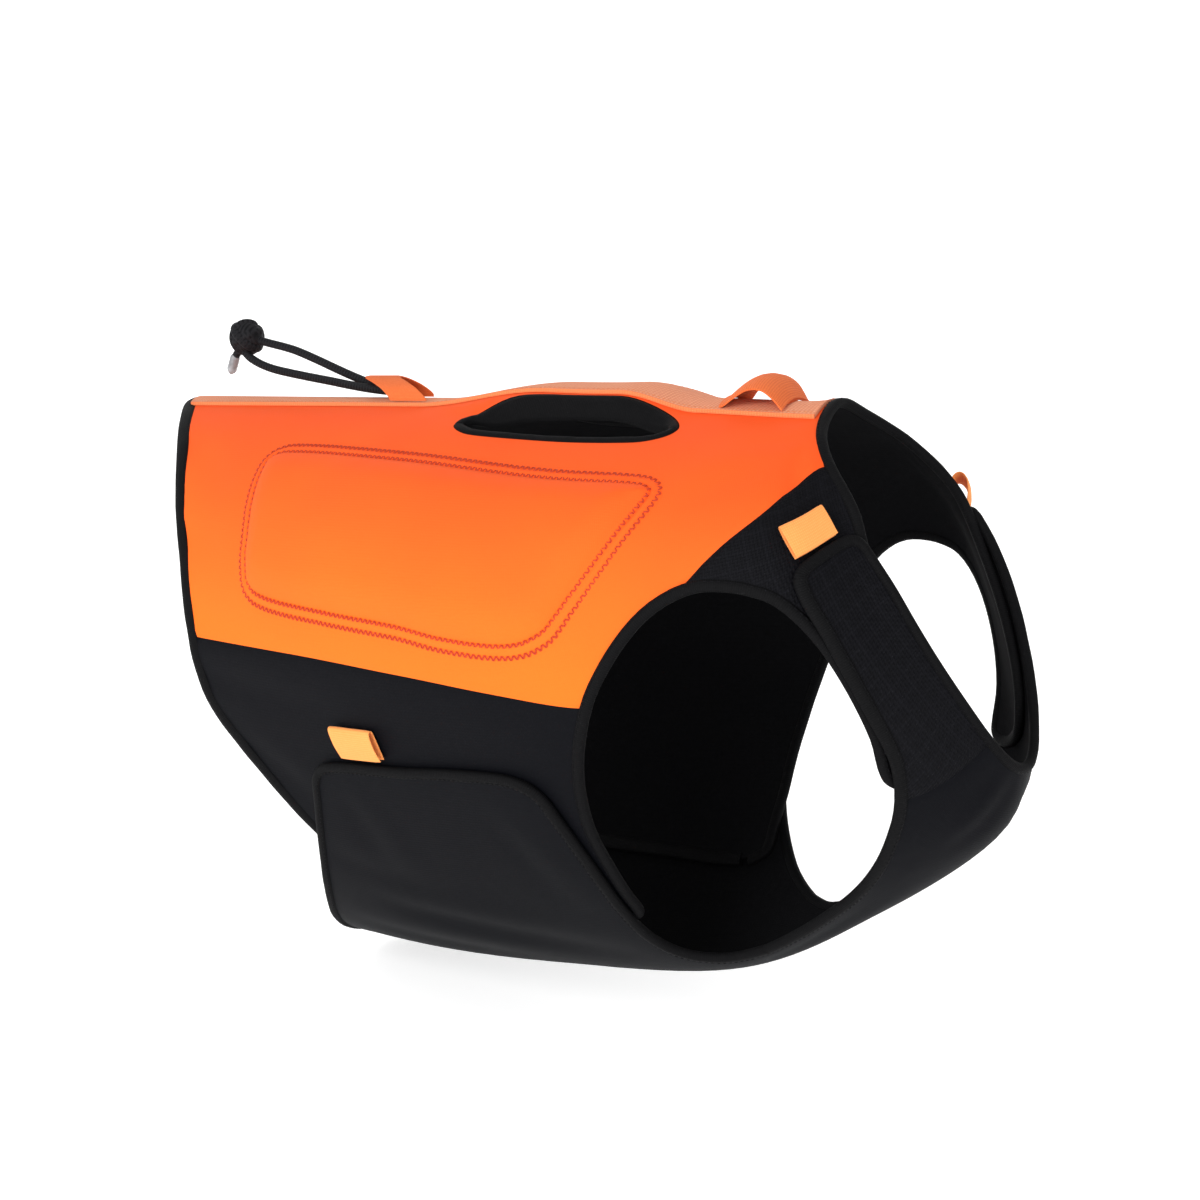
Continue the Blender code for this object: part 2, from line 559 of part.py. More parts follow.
# ---- pull tabs: a folded tape, its ends at the flap or strap and its fold beyond ----

TAB_FOLD = [(0.0, 4.4), (0.45, 4.4), (0.82, 4.5), (0.97, 4.9), (1.0, 5.7), (0.97, 6.5), (0.84, 7.1),
            (0.45, 7.2), (0.0, 6.7)]


def tab(name, ends, fold, mirrored):
    """ends and fold are two corners each, (station, degrees)."""
    ends, fold = np.array(ends, float), np.array(fold, float)
    rows = []
    for out, height in TAB_FOLD:
        line = ends + (fold - ends) * out
        cross = line[0] + (line[1] - line[0]) * np.linspace(0, 1, 4)[:, None]
        rows.append(place(cross[:, 0], cross[:, 1], height))
    strip(name, rows, 1.0, "tab", mirrored)


for side, mirrored in (("left", False), ("right", True)):
    tab("shoulder_tab_" + side, [(7.30, 68.2), (7.96, 68.6)], [(7.21, 58.6), (7.86, 58.2)], mirrored)
    tab("belly_tab_" + side, [(3.34, 97.7), (3.67, 97.5)], [(3.31, 91.6), (3.66, 91.6)], mirrored)

# ---- elastic cord ----

CORD_UPPER = [(-182.0, 1.5, 31.8), (-174, 2.0, 30.4), (-163, 2.4, 28.6), (-152.8, 2.7, 26.4), (-137.1, 3.0, 21.8),
              (-121.6, 3.0, 17.0), (-108, 3.0, 13.0), (-96, 3.0, 9.8), (-84, 3.0, 7.6), (-70, 3.0, 6.4)]
CORD_LOWER = [(-190.0, -2.4, 22.6), (-185, -2.6, 20.2), (-177.9, -2.8, 17.8), (-168, -3.0, 15.6),
              (-155, -3.0, 13.8), (-137.4, -3.0, 11.8), (-120, -3.0, 10.0), (-104, -3.0, 8.2),
              (-88, -3.0, 6.8), (-72, -3.0, 6.0)]


def off_knot(path, clear):
    """The strand, starting clear of the knot."""
    path = np.array(path, float)
    way = (path[0] - KNOT_AT) / KNOT_RADII
    path[0] = KNOT_AT + way / np.linalg.norm(way) * (KNOT_RADII + clear)
    return path


round_tube("cord_upper", off_knot(CORD_UPPER, 0.7), CORD, "cord")
round_tube("cord_lower", off_knot(CORD_LOWER, 2.4), CORD, "cord")

knot_rings = []
for polar in np.linspace(12, 168, 9):
    turns = np.radians(np.arange(0, 360, 30))
    lobes = 1 - 0.05 * np.cos(3 * turns + np.radians(polar))
    way = np.stack([np.cos(np.radians(polar)) + 0 * turns,
                    np.sin(np.radians(polar)) * np.cos(turns) * lobes,
                    np.sin(np.radians(polar)) * np.sin(turns) * lobes], -1)
    knot_rings.append(KNOT_AT + way * KNOT_RADII * 0.985)
tube("cord_knot", knot_rings, "cord")

TIP = [(-200.5, -1.2, 24.0), (-203.0, -1.5, 21.0), (-204.4, -1.5, 18.6), (-206.0, -1.5, 14.6)]
round_tube("cord_tip", off_knot(TIP, 0.6), 6.4, "clear", sides=10)
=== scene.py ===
"""The looks of the dog protective vest: fine cloth on the part's form, sewing, weaves and soft creases.
Millimetres on the form, metres in the scene. X forward to the neck, Y to the dog's left, Z up."""

from math import radians

import bpy
import numpy as np
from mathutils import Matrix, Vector
from mathutils.geometry import delaunay_2d_cdt


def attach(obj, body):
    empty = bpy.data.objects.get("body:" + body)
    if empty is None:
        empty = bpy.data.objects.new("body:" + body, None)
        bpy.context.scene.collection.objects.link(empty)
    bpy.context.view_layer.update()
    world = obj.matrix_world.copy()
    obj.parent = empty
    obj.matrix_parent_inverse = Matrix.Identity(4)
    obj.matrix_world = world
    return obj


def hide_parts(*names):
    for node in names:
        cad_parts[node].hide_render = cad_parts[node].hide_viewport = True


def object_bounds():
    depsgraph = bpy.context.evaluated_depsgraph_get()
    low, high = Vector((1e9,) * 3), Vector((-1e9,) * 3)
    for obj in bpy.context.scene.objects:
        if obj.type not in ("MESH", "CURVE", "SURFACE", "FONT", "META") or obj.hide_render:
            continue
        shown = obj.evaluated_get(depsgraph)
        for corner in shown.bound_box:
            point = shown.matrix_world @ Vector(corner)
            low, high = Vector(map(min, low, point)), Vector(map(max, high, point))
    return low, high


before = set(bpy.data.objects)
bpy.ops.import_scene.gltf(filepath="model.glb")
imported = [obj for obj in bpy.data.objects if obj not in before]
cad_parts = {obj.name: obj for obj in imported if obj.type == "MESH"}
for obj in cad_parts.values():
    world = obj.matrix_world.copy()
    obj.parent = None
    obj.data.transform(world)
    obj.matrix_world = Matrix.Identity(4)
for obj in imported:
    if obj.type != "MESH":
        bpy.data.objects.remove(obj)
CAD_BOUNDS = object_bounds()

MM = 0.001
RNG = np.random.default_rng(7)

# ---- the view of the photograph ----

VIEW_TURN = 36.227     # degrees from the vest's right side toward its front
VIEW_HEIGHT = 10.143   # degrees above the horizon
EYE_AT = (0.66774, -0.80993, 0.07842)

scene = bpy.context.scene
camera = bpy.data.cameras.new("camera")
camera.lens = 56.4
camera.sensor_width = 36.0
camera.clip_start = 0.05
camera.clip_end = 20.0
eye = bpy.data.objects.new("camera", camera)
eye.location = EYE_AT
eye.rotation_euler = (radians(90 - VIEW_HEIGHT), 0, radians(VIEW_TURN))
scene.collection.objects.link(eye)
scene.camera = eye

SIDES = (("left", False), ("right", True))    # each side's name, and whether its pieces are turned over

# Sizes in mm. A height is over the inner form.
CLOTH = 3.0            # neoprene thickness
CHEST_IN = 4.1         # inside of the chest piece, which lies outside the saddle
CHEST_OUT = CHEST_IN + CLOTH
WEBBING_OUT = 4.9      # top of the spine webbing
WEBBING_HALF = 22.0    # half its width
BIND_CLOTH = 5.0       # how far in from a bound edge its cloth shows
BIND_LAP = 0.4         # how far the cloth goes on under the binding
HANDLE_LIFT = 8.9
RIDGE = 6.0            # the withers make the spine stand up by this much toward the neck

# Sections of the form, from behind the hem to the neck. top and low are its ends on the middle plane.
# top_x, top_z, low_x, low_z, half_width, egg, square
RINGS = np.array([
    (-300.2, -10.4, -310.4, -316.0, 92.1, 0.01, 0.04),
    (-220.1, -7.7, -215.2, -315.0, 99.5, 0.05, 0.03),
    (-140.0, -5.0, -120.0, -314.0, 106.9, 0.09, 0.02),
    (-60.4, -2.2, -22.2, -311.2, 113.3, 0.13, 0.00),
    (17.0, 0.2, 76.3, -300.1, 117.1, 0.16, -0.02),
    (89.4, -0.7, 173.3, -279.4, 116.3, 0.16, -0.03),
    (152.7, 0.5, 244.1, -237.0, 102.8, 0.17, -0.02),
    (204.9, 1.3, 302.3, -189.1, 87.9, 0.16, -0.01),
    (222.0, 4.8, 318.4, -149.8, 58.6, 0.16, -0.02),
])

# Edges and seams as they lie on the form: station along the rings, degrees round from the spine
HEM = [(0.70, 0), (0.83, 8), (1.14, 21), (1.54, 39), (1.865, 60), (1.97, 75), (2.01, 83), (2.11, 92.3),
       (2.33, 101), (2.52, 109), (2.70, 118), (2.88, 127), (3.05, 133.5), (3.24, 136)]
SIDE_LOW = [(3.24, 136), (3.60, 136.8), (4.10, 138), (4.50, 139.5), (4.70, 139.5)]
ARMHOLE = [(4.70, 139.5), (4.83, 136), (4.86, 129), (4.90, 121), (4.96, 111), (5.12, 99), (5.37, 87.5),
           (5.59, 80.8), (5.80, 75.7), (5.98, 72.3), (6.14, 70.3), (6.28, 69.2), (6.42, 69), (6.57, 70),
           (6.73, 72), (6.92, 76), (7.06, 83), (7.14, 92), (7.13, 103), (7.04, 115), (6.92, 123),
           (6.89, 128), (6.97, 133), (7.14, 137), (7.40, 140)]
TONGUE = [(7.40, 140), (7.66, 140), (7.88, 136), (8.00, 128), (8.08, 116), (8.14, 102), (8.20, 88),
          (8.30, 76), (8.37, 66), (8.36, 57), (8.30, 48), (8.22, 38), (8.13, 25), (8.06, 12), (8.03, 0)]
SEAM_FLANK = [(1.60, 78.1), (2.13, 78.1), (3.13, 78.4), (4.01, 80.4), (4.76, 83.1), (5.28, 86.8), (5.70, 90)]
SEAM_YOKE = [(6.00, 73), (6.35, 65.4), (6.51, 61.7), (6.78, 56.4), (7.24, 49.6), (7.46, 47.4), (7.96, 44.4),
             (8.60, 42)]
SLIT = [(3.96, 20), (4.09, 22.8), (4.28, 23.8), (4.78, 24), (5.46, 24.2), (5.74, 23.7), (5.92, 21),
        (5.95, 17), (5.80, 12.6), (5.50, 10.3), (5.10, 9.6), (4.70, 9.7), (4.36, 10.4), (4.12, 12.6),
        (3.98, 16.0)]
PAD = [(2.46, 35), (2.56, 30.5), (2.80, 29.4), (3.50, 30.4), (4.24, 32), (5.10, 34), (5.81, 36.2),
       (6.06, 38.5), (6.12, 43), (5.98, 50), (5.68, 61), (5.36, 70.5), (5.20, 74), (4.92, 76),
       (4.40, 75), (4.01, 73.2), (3.40, 71.6), (2.84, 70), (2.64, 67.5), (2.57, 62), (2.54, 54), (2.48, 44)]
FLAP = [(2.22, 180), (2.26, 166), (2.36, 152), (2.54, 137), (2.74, 122), (2.93, 108), (3.00, 103),
        (3.12, 100), (3.36, 99), (3.80, 98.6), (4.30, 98), (4.62, 98.6), (4.78, 102), (4.82, 109),
        (4.82, 120), (4.79, 132), (4.79, 143), (4.87, 152), (5.06, 158), (5.32, 159.5)]
LEG = [(5.32, 159.5), (5.55, 158.4), (5.76, 157.2), (6.01, 155), (6.22, 151.5), (6.44, 146),
       (6.65, 139.5), (6.80, 134.5), (6.95, 128), (7.06, 121), (7.13, 111), (7.18, 100), (7.20, 88),
       (7.17, 78), (7.20, 72.5), (7.34, 70), (7.62, 69.5)]
COLLAR = [(7.62, 69.5), (7.92, 70), (8.14, 71), (8.27, 74), (8.31, 81), (8.32, 91), (8.28, 103),
          (8.23, 115), (8.16, 131), (8.09, 145), (8.02, 161), (7.99, 171), (7.98, 180)]
# The left flap is fastened a little further forward, so its leg opening has a rounder corner.
FLAP_LEFT = FLAP[:14] + [(4.83, 117), (4.86, 124), (4.92, 131), (5.02, 139), (5.13, 145), (5.24, 150)]
LEG_LEFT = [(5.24, 150), (5.40, 155), (5.57, 157.3), (5.78, 157.2)] + LEG[3:]
SEAM_STRAP = [(6.50, 127), (7.04, 135), (7.34, 139), (7.78, 145), (8.45, 154)]


# ---- the form ----

def unit(vectors):
    return vectors / np.linalg.norm(vectors, axis=-1, keepdims=True)


def run_along(points):
    """How far each point lies along the line through them."""
    return np.r_[0, np.cumsum(np.linalg.norm(np.diff(points, axis=0), axis=1))]


def shut(ring):
    """A ring of points with its first one again at the end."""
    return np.vstack([ring, ring[:1]])


def picked_at(places, at, rows):
    """The rows' columns at new places along them."""
    return np.stack([np.interp(places, at, rows[:, k]) for k in range(rows.shape[1])], -1)


def blend(rows, s):
    """Rows of a table at station s, on a smooth curve through them."""
    rows = np.asarray(rows, float)
    s = np.atleast_1d(np.asarray(s, float))
    last = len(rows) - 1
    i = np.clip(np.floor(s).astype(int), 0, last - 1)
    t = (s - i)[:, None]
    before = np.where((i < 1)[:, None], 2 * rows[0] - rows[1], rows[np.maximum(i - 1, 0)])
    after = np.where((i + 2 > last)[:, None], 2 * rows[last] - rows[last - 1],
                     rows[np.minimum(i + 2, last)])
    a, b, c, d = before, rows[i], rows[i + 1], after
    return 0.5 * (2 * b + (c - a) * t + (2 * a - 5 * b + 4 * c - d) * t**2
                  + (3 * b - a - 3 * c + d) * t**3)


def smooth(x, start, end):
    u = np.clip((x - start) / (end - start), 0, 1)
    return u * u * (3 - 2 * u)


def skin(s, a):
    """Points of the inner form, in mm. a runs to 360, and the left side is the first half."""
    s, a = np.broadcast_arrays(np.atleast_1d(np.asarray(s, float)), np.asarray(a, float))
    row = blend(RINGS, s)
    turn = np.radians(a)
    from_spine = (a + 180) % 360 - 180
    y = row[:, 4] * (np.sin(turn) + row[:, 5] * np.sin(2 * turn) + row[:, 6] * np.sin(3 * turn))
    middle, half = (row[:, 0:2] + row[:, 2:4]) / 2, (row[:, 0:2] - row[:, 2:4]) / 2
    ends = middle + half * np.cos(turn)[:, None]
    ridge = RIDGE * smooth(s, 3.4, 6.0) * np.exp(-(from_spine / 13) ** 2)
    return np.stack([ends[:, 0], y, ends[:, 1] + ridge], -1)


def frame_at(s, a):
    """The point, the outward normal and the steps along and round at each place."""
    s, a = np.broadcast_arrays(np.atleast_1d(np.asarray(s, float)), np.asarray(a, float))
    along = (skin(s + 0.005, a) - skin(s - 0.005, a)) / 0.01
    around = (skin(s, a + 0.2) - skin(s, a - 0.2)) / 0.4
    normal = unit(np.cross(around, along))
    point = skin(s, a)
    row = blend(RINGS, s)
    out = point - np.stack([(row[:, 0] + row[:, 2]) / 2, 0 * s, (row[:, 1] + row[:, 3]) / 2], -1)
    normal *= np.sign((normal * out).sum(1, keepdims=True))
    return point, normal, along, around


def lift(s, a, point):
    """How far the handle is pulled up, at this place."""
    rise = smooth(s, 3.35, 4.5) * (1 - smooth(s, 5.2, 5.95))
    near = 1 - smooth(np.abs(point[:, 1]), 27, 39)
    return HANDLE_LIFT * rise * near * (np.cos(np.radians(a)) > 0)


def place(s, a, h):
    point, normal, _, _ = frame_at(s, a)
    point = point + normal * np.reshape(h, (-1, 1))
    point[:, 2] += lift(*np.broadcast_arrays(s, a), point)
    return point


def angle_at(s, y):
    """The angle whose point lies y mm to the left of the middle plane, near the spine."""
    a = np.full(len(np.atleast_1d(s)), 9.0)
    for _ in range(12):
        value, step = skin(s, a)[:, 1], skin(s, a + 0.1)[:, 1]
        a = a - (value - np.abs(y)) * 0.1 / (step - value)
    return a * np.where(np.asarray(y) < 0, -1, 1)


# ---- curves on the form ----

def traced(rows, most, turn, closed=False):
    """A smooth curve through the rows, with points at most this far or this much of a turn apart."""
    rows = np.array(rows, float)
    if closed:
        ring = np.vstack([rows[-2:], rows, rows[:3]])
        fine = blend(ring, np.linspace(2, len(rows) + 2, len(rows) * 24 + 1))
    else:
        fine = blend(rows, np.linspace(0, len(rows) - 1, (len(rows) - 1) * 24 + 1))
    points = skin(fine[:, 0], fine[:, 1])
    step = np.diff(points, axis=0)
    length = np.linalg.norm(step, axis=1)
    way = step / length[:, None]
    bend = np.r_[0, np.degrees(np.arccos(np.clip((way[1:] * way[:-1]).sum(1), -1, 1)))]
    cost = np.cumsum(np.maximum(length / most, 0.35 * length / most + bend / turn))
    count = max(2, int(np.ceil(cost[-1])))
    places = np.interp(np.linspace(0, cost[-1], count + 1), np.r_[0, cost], np.arange(len(fine)))
    picked = picked_at(places, np.arange(len(fine)), fine)
    return picked[:-1] if closed else picked


def sideways(curve, closed=False):
    """Each point's frame and the direction in the cloth that lies to the left of the curve."""
    point, normal, along, around = frame_at(curve[:, 0], curve[:, 1])
    if closed:
        tangent = np.roll(point, -1, 0) - np.roll(point, 1, 0)
    else:
        tangent = np.gradient(point, axis=0)
    left = unit(np.cross(normal, unit(tangent)))
    return point, normal, along, around, left


def moved(curve, distance, closed=False):
    """The curve shifted in the cloth in short steps, to its left for a positive distance. The distance is
    one number, or one for each point."""
    count = max(1, int(np.ceil(np.abs(distance).max() / 1.3)))
    for _ in range(count):
        _, _, along, around, left = sideways(curve, closed)
        aim = left * np.reshape(distance, (-1, 1)) / count
        aa, ab, bb = (along**2).sum(1), (along * around).sum(1), (around**2).sum(1)
        fa, fb = (aim * along).sum(1), (aim * around).sum(1)
        det = aa * bb - ab**2
        curve = curve + np.stack([(bb * fa - ab * fb) / det, (aa * fb - ab * fa) / det], -1)
    return curve


def moved_half(curve, distance, at):
    """A half outline shifted in the cloth as if its mirror image across the angle at went with it."""
    other = curve[-2:0:-1].copy()
    other[:, 1] = 2 * at - other[:, 1]
    return moved(np.vstack([curve, other]), distance, closed=True)[:len(curve)]


def inward(curve):
    """1 where the cloth lies to the left of this outline, which sets out from its rearmost part."""
    return 1 if moved(curve, 1.0)[3, 0] > curve[3, 0] else -1


def into_ring(ring):
    """1 where the inside of a closed outline lies to its left, or else -1."""
    return -1 if np.ptp(moved(ring, 1.0, closed=True)[:, 1]) > np.ptp(ring[:, 1]) else 1


FLAT_S = np.linspace(-0.5, 9.0, 400)
FLAT_U = run_along(skin(FLAT_S, 90.0))
DEGREE = 2.2    # mm round the body for each degree


def flat(curve):
    """The curve on a plane where a millimetre is about a millimetre."""
    return np.stack([np.interp(curve[:, 0], FLAT_S, FLAT_U), DEGREE * curve[:, 1]], -1)


def unflat(points):
    return np.stack([np.interp(points[:, 0], FLAT_U, FLAT_S), points[:, 1] / DEGREE], -1)


def inside(points, ring):
    x, y = points[:, 0:1], points[:, 1:2]
    x0, y0 = ring[:, 0], ring[:, 1]
    x1, y1 = np.roll(x0, -1), np.roll(y0, -1)
    crosses = (y0 > y) != (y1 > y)
    with np.errstate(divide="ignore", invalid="ignore"):
        at = x0 + (y - y0) * (x1 - x0) / (y1 - y0)
    return (crosses & (x < at)).sum(1) % 2 == 1


def clearance(points, lines):
    """The distance in the plane from each point to the nearest of the lines."""
    best = np.full(len(points), 1e9)
    for line in lines:
        start, way = line[:-1], np.diff(line, axis=0)
        size = np.maximum((way**2).sum(1), 1e-9)
        part = np.clip(((points[:, None] - start) * way).sum(2) / size, 0, 1)
        best = np.minimum(best, np.linalg.norm(points[:, None] - start - part[..., None] * way,
                                               axis=2).min(1))
    return best


def cut_cloth(outline, lines, along, around, holes=(), extra=()):
    """Triangles over everything inside the outline, with an edge along each of the lines. along and around
    are the spacing of the points between them. extra lines are closed."""
    ring = flat(outline)
    closed = [shut(ring)] + [shut(flat(hole)) for hole in holes]
    opened = [flat(line) for line in lines]
    loops = [shut(flat(line)) for line in extra]
    low, high = ring.min(0), ring.max(0)
    columns = np.arange(low[0] + along / 2, high[0], along)
    grid = np.array([(u, v + (i % 2) * around / 2) for i, u in enumerate(columns)
                     for v in np.arange(low[1], high[1], around)])
    grid = grid[inside(grid, ring)]
    grid = grid[clearance(grid, closed + opened + loops) > 0.45 * around]
    vertices, edges = [], []
    for line in closed + loops:
        edges += [(len(vertices) + i, len(vertices) + (i + 1) % (len(line) - 1))
                  for i in range(len(line) - 1)]
        vertices += list(line[:-1])
    for line in opened:
        edges += [(len(vertices) + i, len(vertices) + i + 1) for i in range(len(line) - 1)]
        vertices += list(line)
    vertices += list(grid)
    result = delaunay_2d_cdt([tuple(map(float, v)) for v in vertices], edges, [], 0, 1e-4)
    points = np.array([tuple(v) for v in result[0]])
    faces = np.array([f for f in result[2]], int)
    middle = points[faces].mean(1)
    keep = inside(middle, ring)
    for hole in holes:
        keep &= ~inside(middle, flat(hole))
    return unflat(points), faces[keep], unflat(middle[keep])


def piece_of(places, faces):
    """Some triangles of a cut cloth, with only their own points."""
    used, index = np.unique(faces, return_inverse=True)
    return places[used], index.reshape(-1, 3)


def joined(left, right):
    """Two halves made one: the right is turned over to its side, and they share the middle plane's points."""
    places, faces = left
    over, over_faces = right
    shared = np.abs(over[:, 1] - 180) < 1e-3
    middle = np.flatnonzero(np.abs(places[:, 1] - 180) < 1e-3)
    number = np.zeros(len(over), int)
    number[shared] = middle[np.abs(places[middle, 0] - over[shared, :1]).argmin(1)]
    number[~shared] = len(places) + np.arange((~shared).sum())
    over = over[~shared] * (1, -1) + (0, 360)
    return np.vstack([places, over]), np.vstack([faces, number[over_faces][:, ::-1]])


# ---- meshes ----

def mesh_object(name, points, faces, looks, which=None, uv=None, mirrored=False, sharp=48.0):
    """A mesh that rides on the body. which is each face's material, and uv is in mm."""
    points = np.array(points, float)
    if mirrored:
        points[:, 1] *= -1
        faces = [tuple(f)[::-1] for f in faces]
    mesh = bpy.data.meshes.new(name)
    mesh.from_pydata((points * MM).tolist(), [], [tuple(int(i) for i in f) for f in faces])
    for look in looks:
        mesh.materials.append(look)
    if which is not None:
        mesh.polygons.foreach_set("material_index", np.asarray(which, np.int32))
    if uv is not None:
        corners = np.zeros(len(mesh.loops), np.int32)
        mesh.loops.foreach_get("vertex_index", corners)
        layer = mesh.uv_layers.new(name="cloth")
        layer.data.foreach_set("uv", (np.asarray(uv, float)[corners] / 10).astype(np.float32).ravel())
    mesh.shade_smooth()
    mesh.set_sharp_from_angle(angle=radians(sharp))
    made = bpy.data.objects.new(name, mesh)
    scene.collection.objects.link(made)
    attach(made, "root")
    return made


def outward(points, faces):
    """The faces, turned round where the closed body would face in."""
    volume = 0.0
    for f in faces:
        a, b, c = points[f[0]], points[f[1]], points[f[2]]
        volume += float(np.dot(a, np.cross(b, c)))
        if len(f) == 4:
            volume += float(np.dot(a, np.cross(c, points[f[3]])))
    return faces if volume > 0 else [tuple(f)[::-1] for f in faces]


def shell(name, piece, inner, outer, looks, mirrored=False):
    """Cloth between two heights, each a number or a function of the places. looks: outside, inside."""
    places, faces = piece
    heights = [h(places) if callable(h) else np.full(len(places), float(h)) for h in (outer, inner)]
    points = np.vstack([place(places[:, 0], places[:, 1], h) for h in heights])
    n = len(places)
    ends = np.vstack([faces[:, [0, 1]], faces[:, [1, 2]], faces[:, [2, 0]]])
    known = set(map(tuple, ends.tolist()))
    walls = [(b, a, a + n, b + n) for a, b in ends.tolist() if (b, a) not in known]
    every = [tuple(f) for f in faces.tolist()] + [tuple(f[::-1] + n) for f in faces] + walls
    which = [0] * len(faces) + [1] * (len(faces) + len(walls))
    turned = outward(points, every)
    spots = flat(places)
    return mesh_object(name, points, turned, looks, which, np.vstack([spots, spots]), mirrored)


def tube(name, sections, look, closed=False, mirrored=False, sharp=48.0, around_uv=None):
    """A body through the sections, each a ring of the same number of points."""
    sections = np.asarray(sections, float)
    count, around = sections.shape[:2]
    faces = []
    for i in range(count if closed else count - 1):
        j = (i + 1) % count
        for k in range(around):
            m = (k + 1) % around
            faces.append((i * around + k, i * around + m, j * around + m, j * around + k))
    if not closed:
        faces.append(tuple(range(around))[::-1])
        faces.append(tuple((count - 1) * around + k for k in range(around)))
    run = run_along(sections.mean(1))
    edge = np.linalg.norm(np.roll(sections[0], -1, 0) - sections[0], axis=1)
    turn = np.r_[0, np.cumsum(edge)[:-1]] if around_uv is None else np.asarray(around_uv, float)
    uv = np.stack([np.repeat(run, around), np.tile(turn, count)], -1)
    points = sections.reshape(-1, 3)
    return mesh_object(name, points, outward(points, faces), [look], None, uv, mirrored, sharp)


def strip(name, rows, thick, look, mirrored=False):
    """A flat tape with soft edges. rows is a grid of points along by across on its middle."""
    rows = np.asarray(rows, float)
    along, across = np.gradient(rows, axis=0), np.gradient(rows, axis=1)
    normal = unit(np.cross(along, across))
    half = np.full(rows.shape[1], thick / 2)
    half[[0, -1]] *= 0.45
    upper = rows + normal * half[:, None]
    lower = rows - normal * half[:, None]
    sections = np.concatenate([upper, lower[:, ::-1]], axis=1)
    width = run_along(rows[0])
    return tube(name, sections, look, mirrored=mirrored, sharp=60, around_uv=np.r_[width, width[::-1]])


def fine_path(rows, step):
    """Points on a smooth curve through the rows, about this far apart."""
    rows = np.asarray(rows, float)
    fine = blend(rows, np.linspace(0, len(rows) - 1, (len(rows) - 1) * 20 + 1))
    run = run_along(fine)
    at = np.linspace(0, run[-1], max(2, int(run[-1] / step) + 1))
    return picked_at(at, run, fine)


CORD_SIDES = 14
CORD_CAP = ((0.25, 0.8), (0.375, 0.45))    # how far out each ring of the rounded end goes on, and its share


def round_tube(name, path, width, look):
    """A round cord along the path, with a rounded end at each side."""
    tangent = unit(np.gradient(path, axis=0))
    side = np.zeros_like(path)
    side[0] = np.cross(tangent[0], (0.1, 0.2, 1.0))
    for i in range(1, len(path)):
        side[i] = side[i - 1] - tangent[i] * (side[i - 1] @ tangent[i])
        side[i] /= np.linalg.norm(side[i])
    side[0] /= np.linalg.norm(side[0])
    up = np.cross(tangent, side)
    turns = (np.arange(CORD_SIDES) * 2 * np.pi / CORD_SIDES)[:, None]
    rings = path[:, None] + width / 2 * (side[:, None] * np.cos(turns) + up[:, None] * np.sin(turns))
    for end, way in ((0, -1), (-1, 1)):
        for out, share in CORD_CAP:
            cap = (rings[end] - path[end]) * share + path[end] + way * tangent[end] * width * out
            rings = np.vstack([cap[None], rings] if end == 0 else [rings, cap[None]])
    return tube(name, rings, look, sharp=70)


# ---- thread ----

def threads(name, starts, ends, normals, width, look, arch, mirrored):
    """Many short stitches in one mesh. Each dips into the cloth at both ends, and arch is how far its
    middle stands up, in thread widths."""
    way = unit(ends - starts)
    side = unit(np.cross(way, normals))
    up = np.cross(side, way)
    rings = []
    for part, rise, full in ((0.0, -0.55, 0.5), (0.22, arch, 1.0), (0.78, arch, 1.0), (1.0, -0.55, 0.5)):
        middle = starts + (ends - starts) * part + up * (rise * width)
        half = width / 2 * full
        rings.append(np.stack([middle + side * half, middle + up * half, middle - side * half,
                               middle - up * half], 1))
    points = np.stack(rings, 1).reshape(-1, 3)
    faces = []
    for base in range(0, len(points), 16):
        for ring in range(base, base + 12, 4):
            for k in range(4):
                m = (k + 1) % 4
                faces.append((ring + k, ring + m, ring + 4 + m, ring + 4 + k))
        faces.append((base + 3, base + 2, base + 1, base))
        faces.append((base + 12, base + 13, base + 14, base + 15))
    return mesh_object(name, points, outward(points, faces), [look], mirrored=mirrored, sharp=80)


def on_cloth(curve, height, step):
    """Points, normals and the leftward direction along a curve on the cloth, this far apart."""
    point, normal, _, _, left = sideways(curve)
    heights = height(curve) if callable(height) else np.full(len(curve), float(height))
    point = place(curve[:, 0], curve[:, 1], heights)
    run = run_along(point)
    count = max(1, int(round(run[-1] / step)))
    at = np.linspace(0, run[-1], count + 1)
    return picked_at(at, run, point), unit(picked_at(at, run, normal)), unit(picked_at(at, run, left))


STITCH_PITCH = 3.2
STITCH_GAP = 0.17      # the share of each end of a stitch that is down in the cloth
STITCH_ARCH = 0.175
STITCH_SWAY = 0.16
ZIGZAG_PITCH = 3.5
ZIGZAG_SWING = 1.5
# As wide as the thread and the dimple it sinks into; its colour paints that dimple's shade.
ZIGZAG_WIDTH = 0.95
ZIGZAG_ARCH = 0.245


def running_stitch(name, curve, height, look, width=0.42, mirrored=False):
    point, normal, left = on_cloth(curve, height, STITCH_PITCH)
    gap = STITCH_GAP * (point[1:] - point[:-1])
    sway = (RNG.random((len(point), 1)) - 0.5) * STITCH_SWAY
    point = point + left * sway
    return threads(name, point[:-1] + gap, point[1:] - gap, normal[:-1], width, look, STITCH_ARCH, mirrored)


def zigzag_stitch(name, curve, height, look, mirrored):
    point, normal, left = on_cloth(curve, height, ZIGZAG_PITCH / 2)
    turn = np.where(np.arange(len(point)) % 2, 1.0, -1.0)[:, None]
    point = point + left * turn * ZIGZAG_SWING * (0.92 + 0.16 * RNG.random((len(point), 1)))
    return threads(name, point[:-1], point[1:], normal[:-1], ZIGZAG_WIDTH, look, ZIGZAG_ARCH, mirrored)
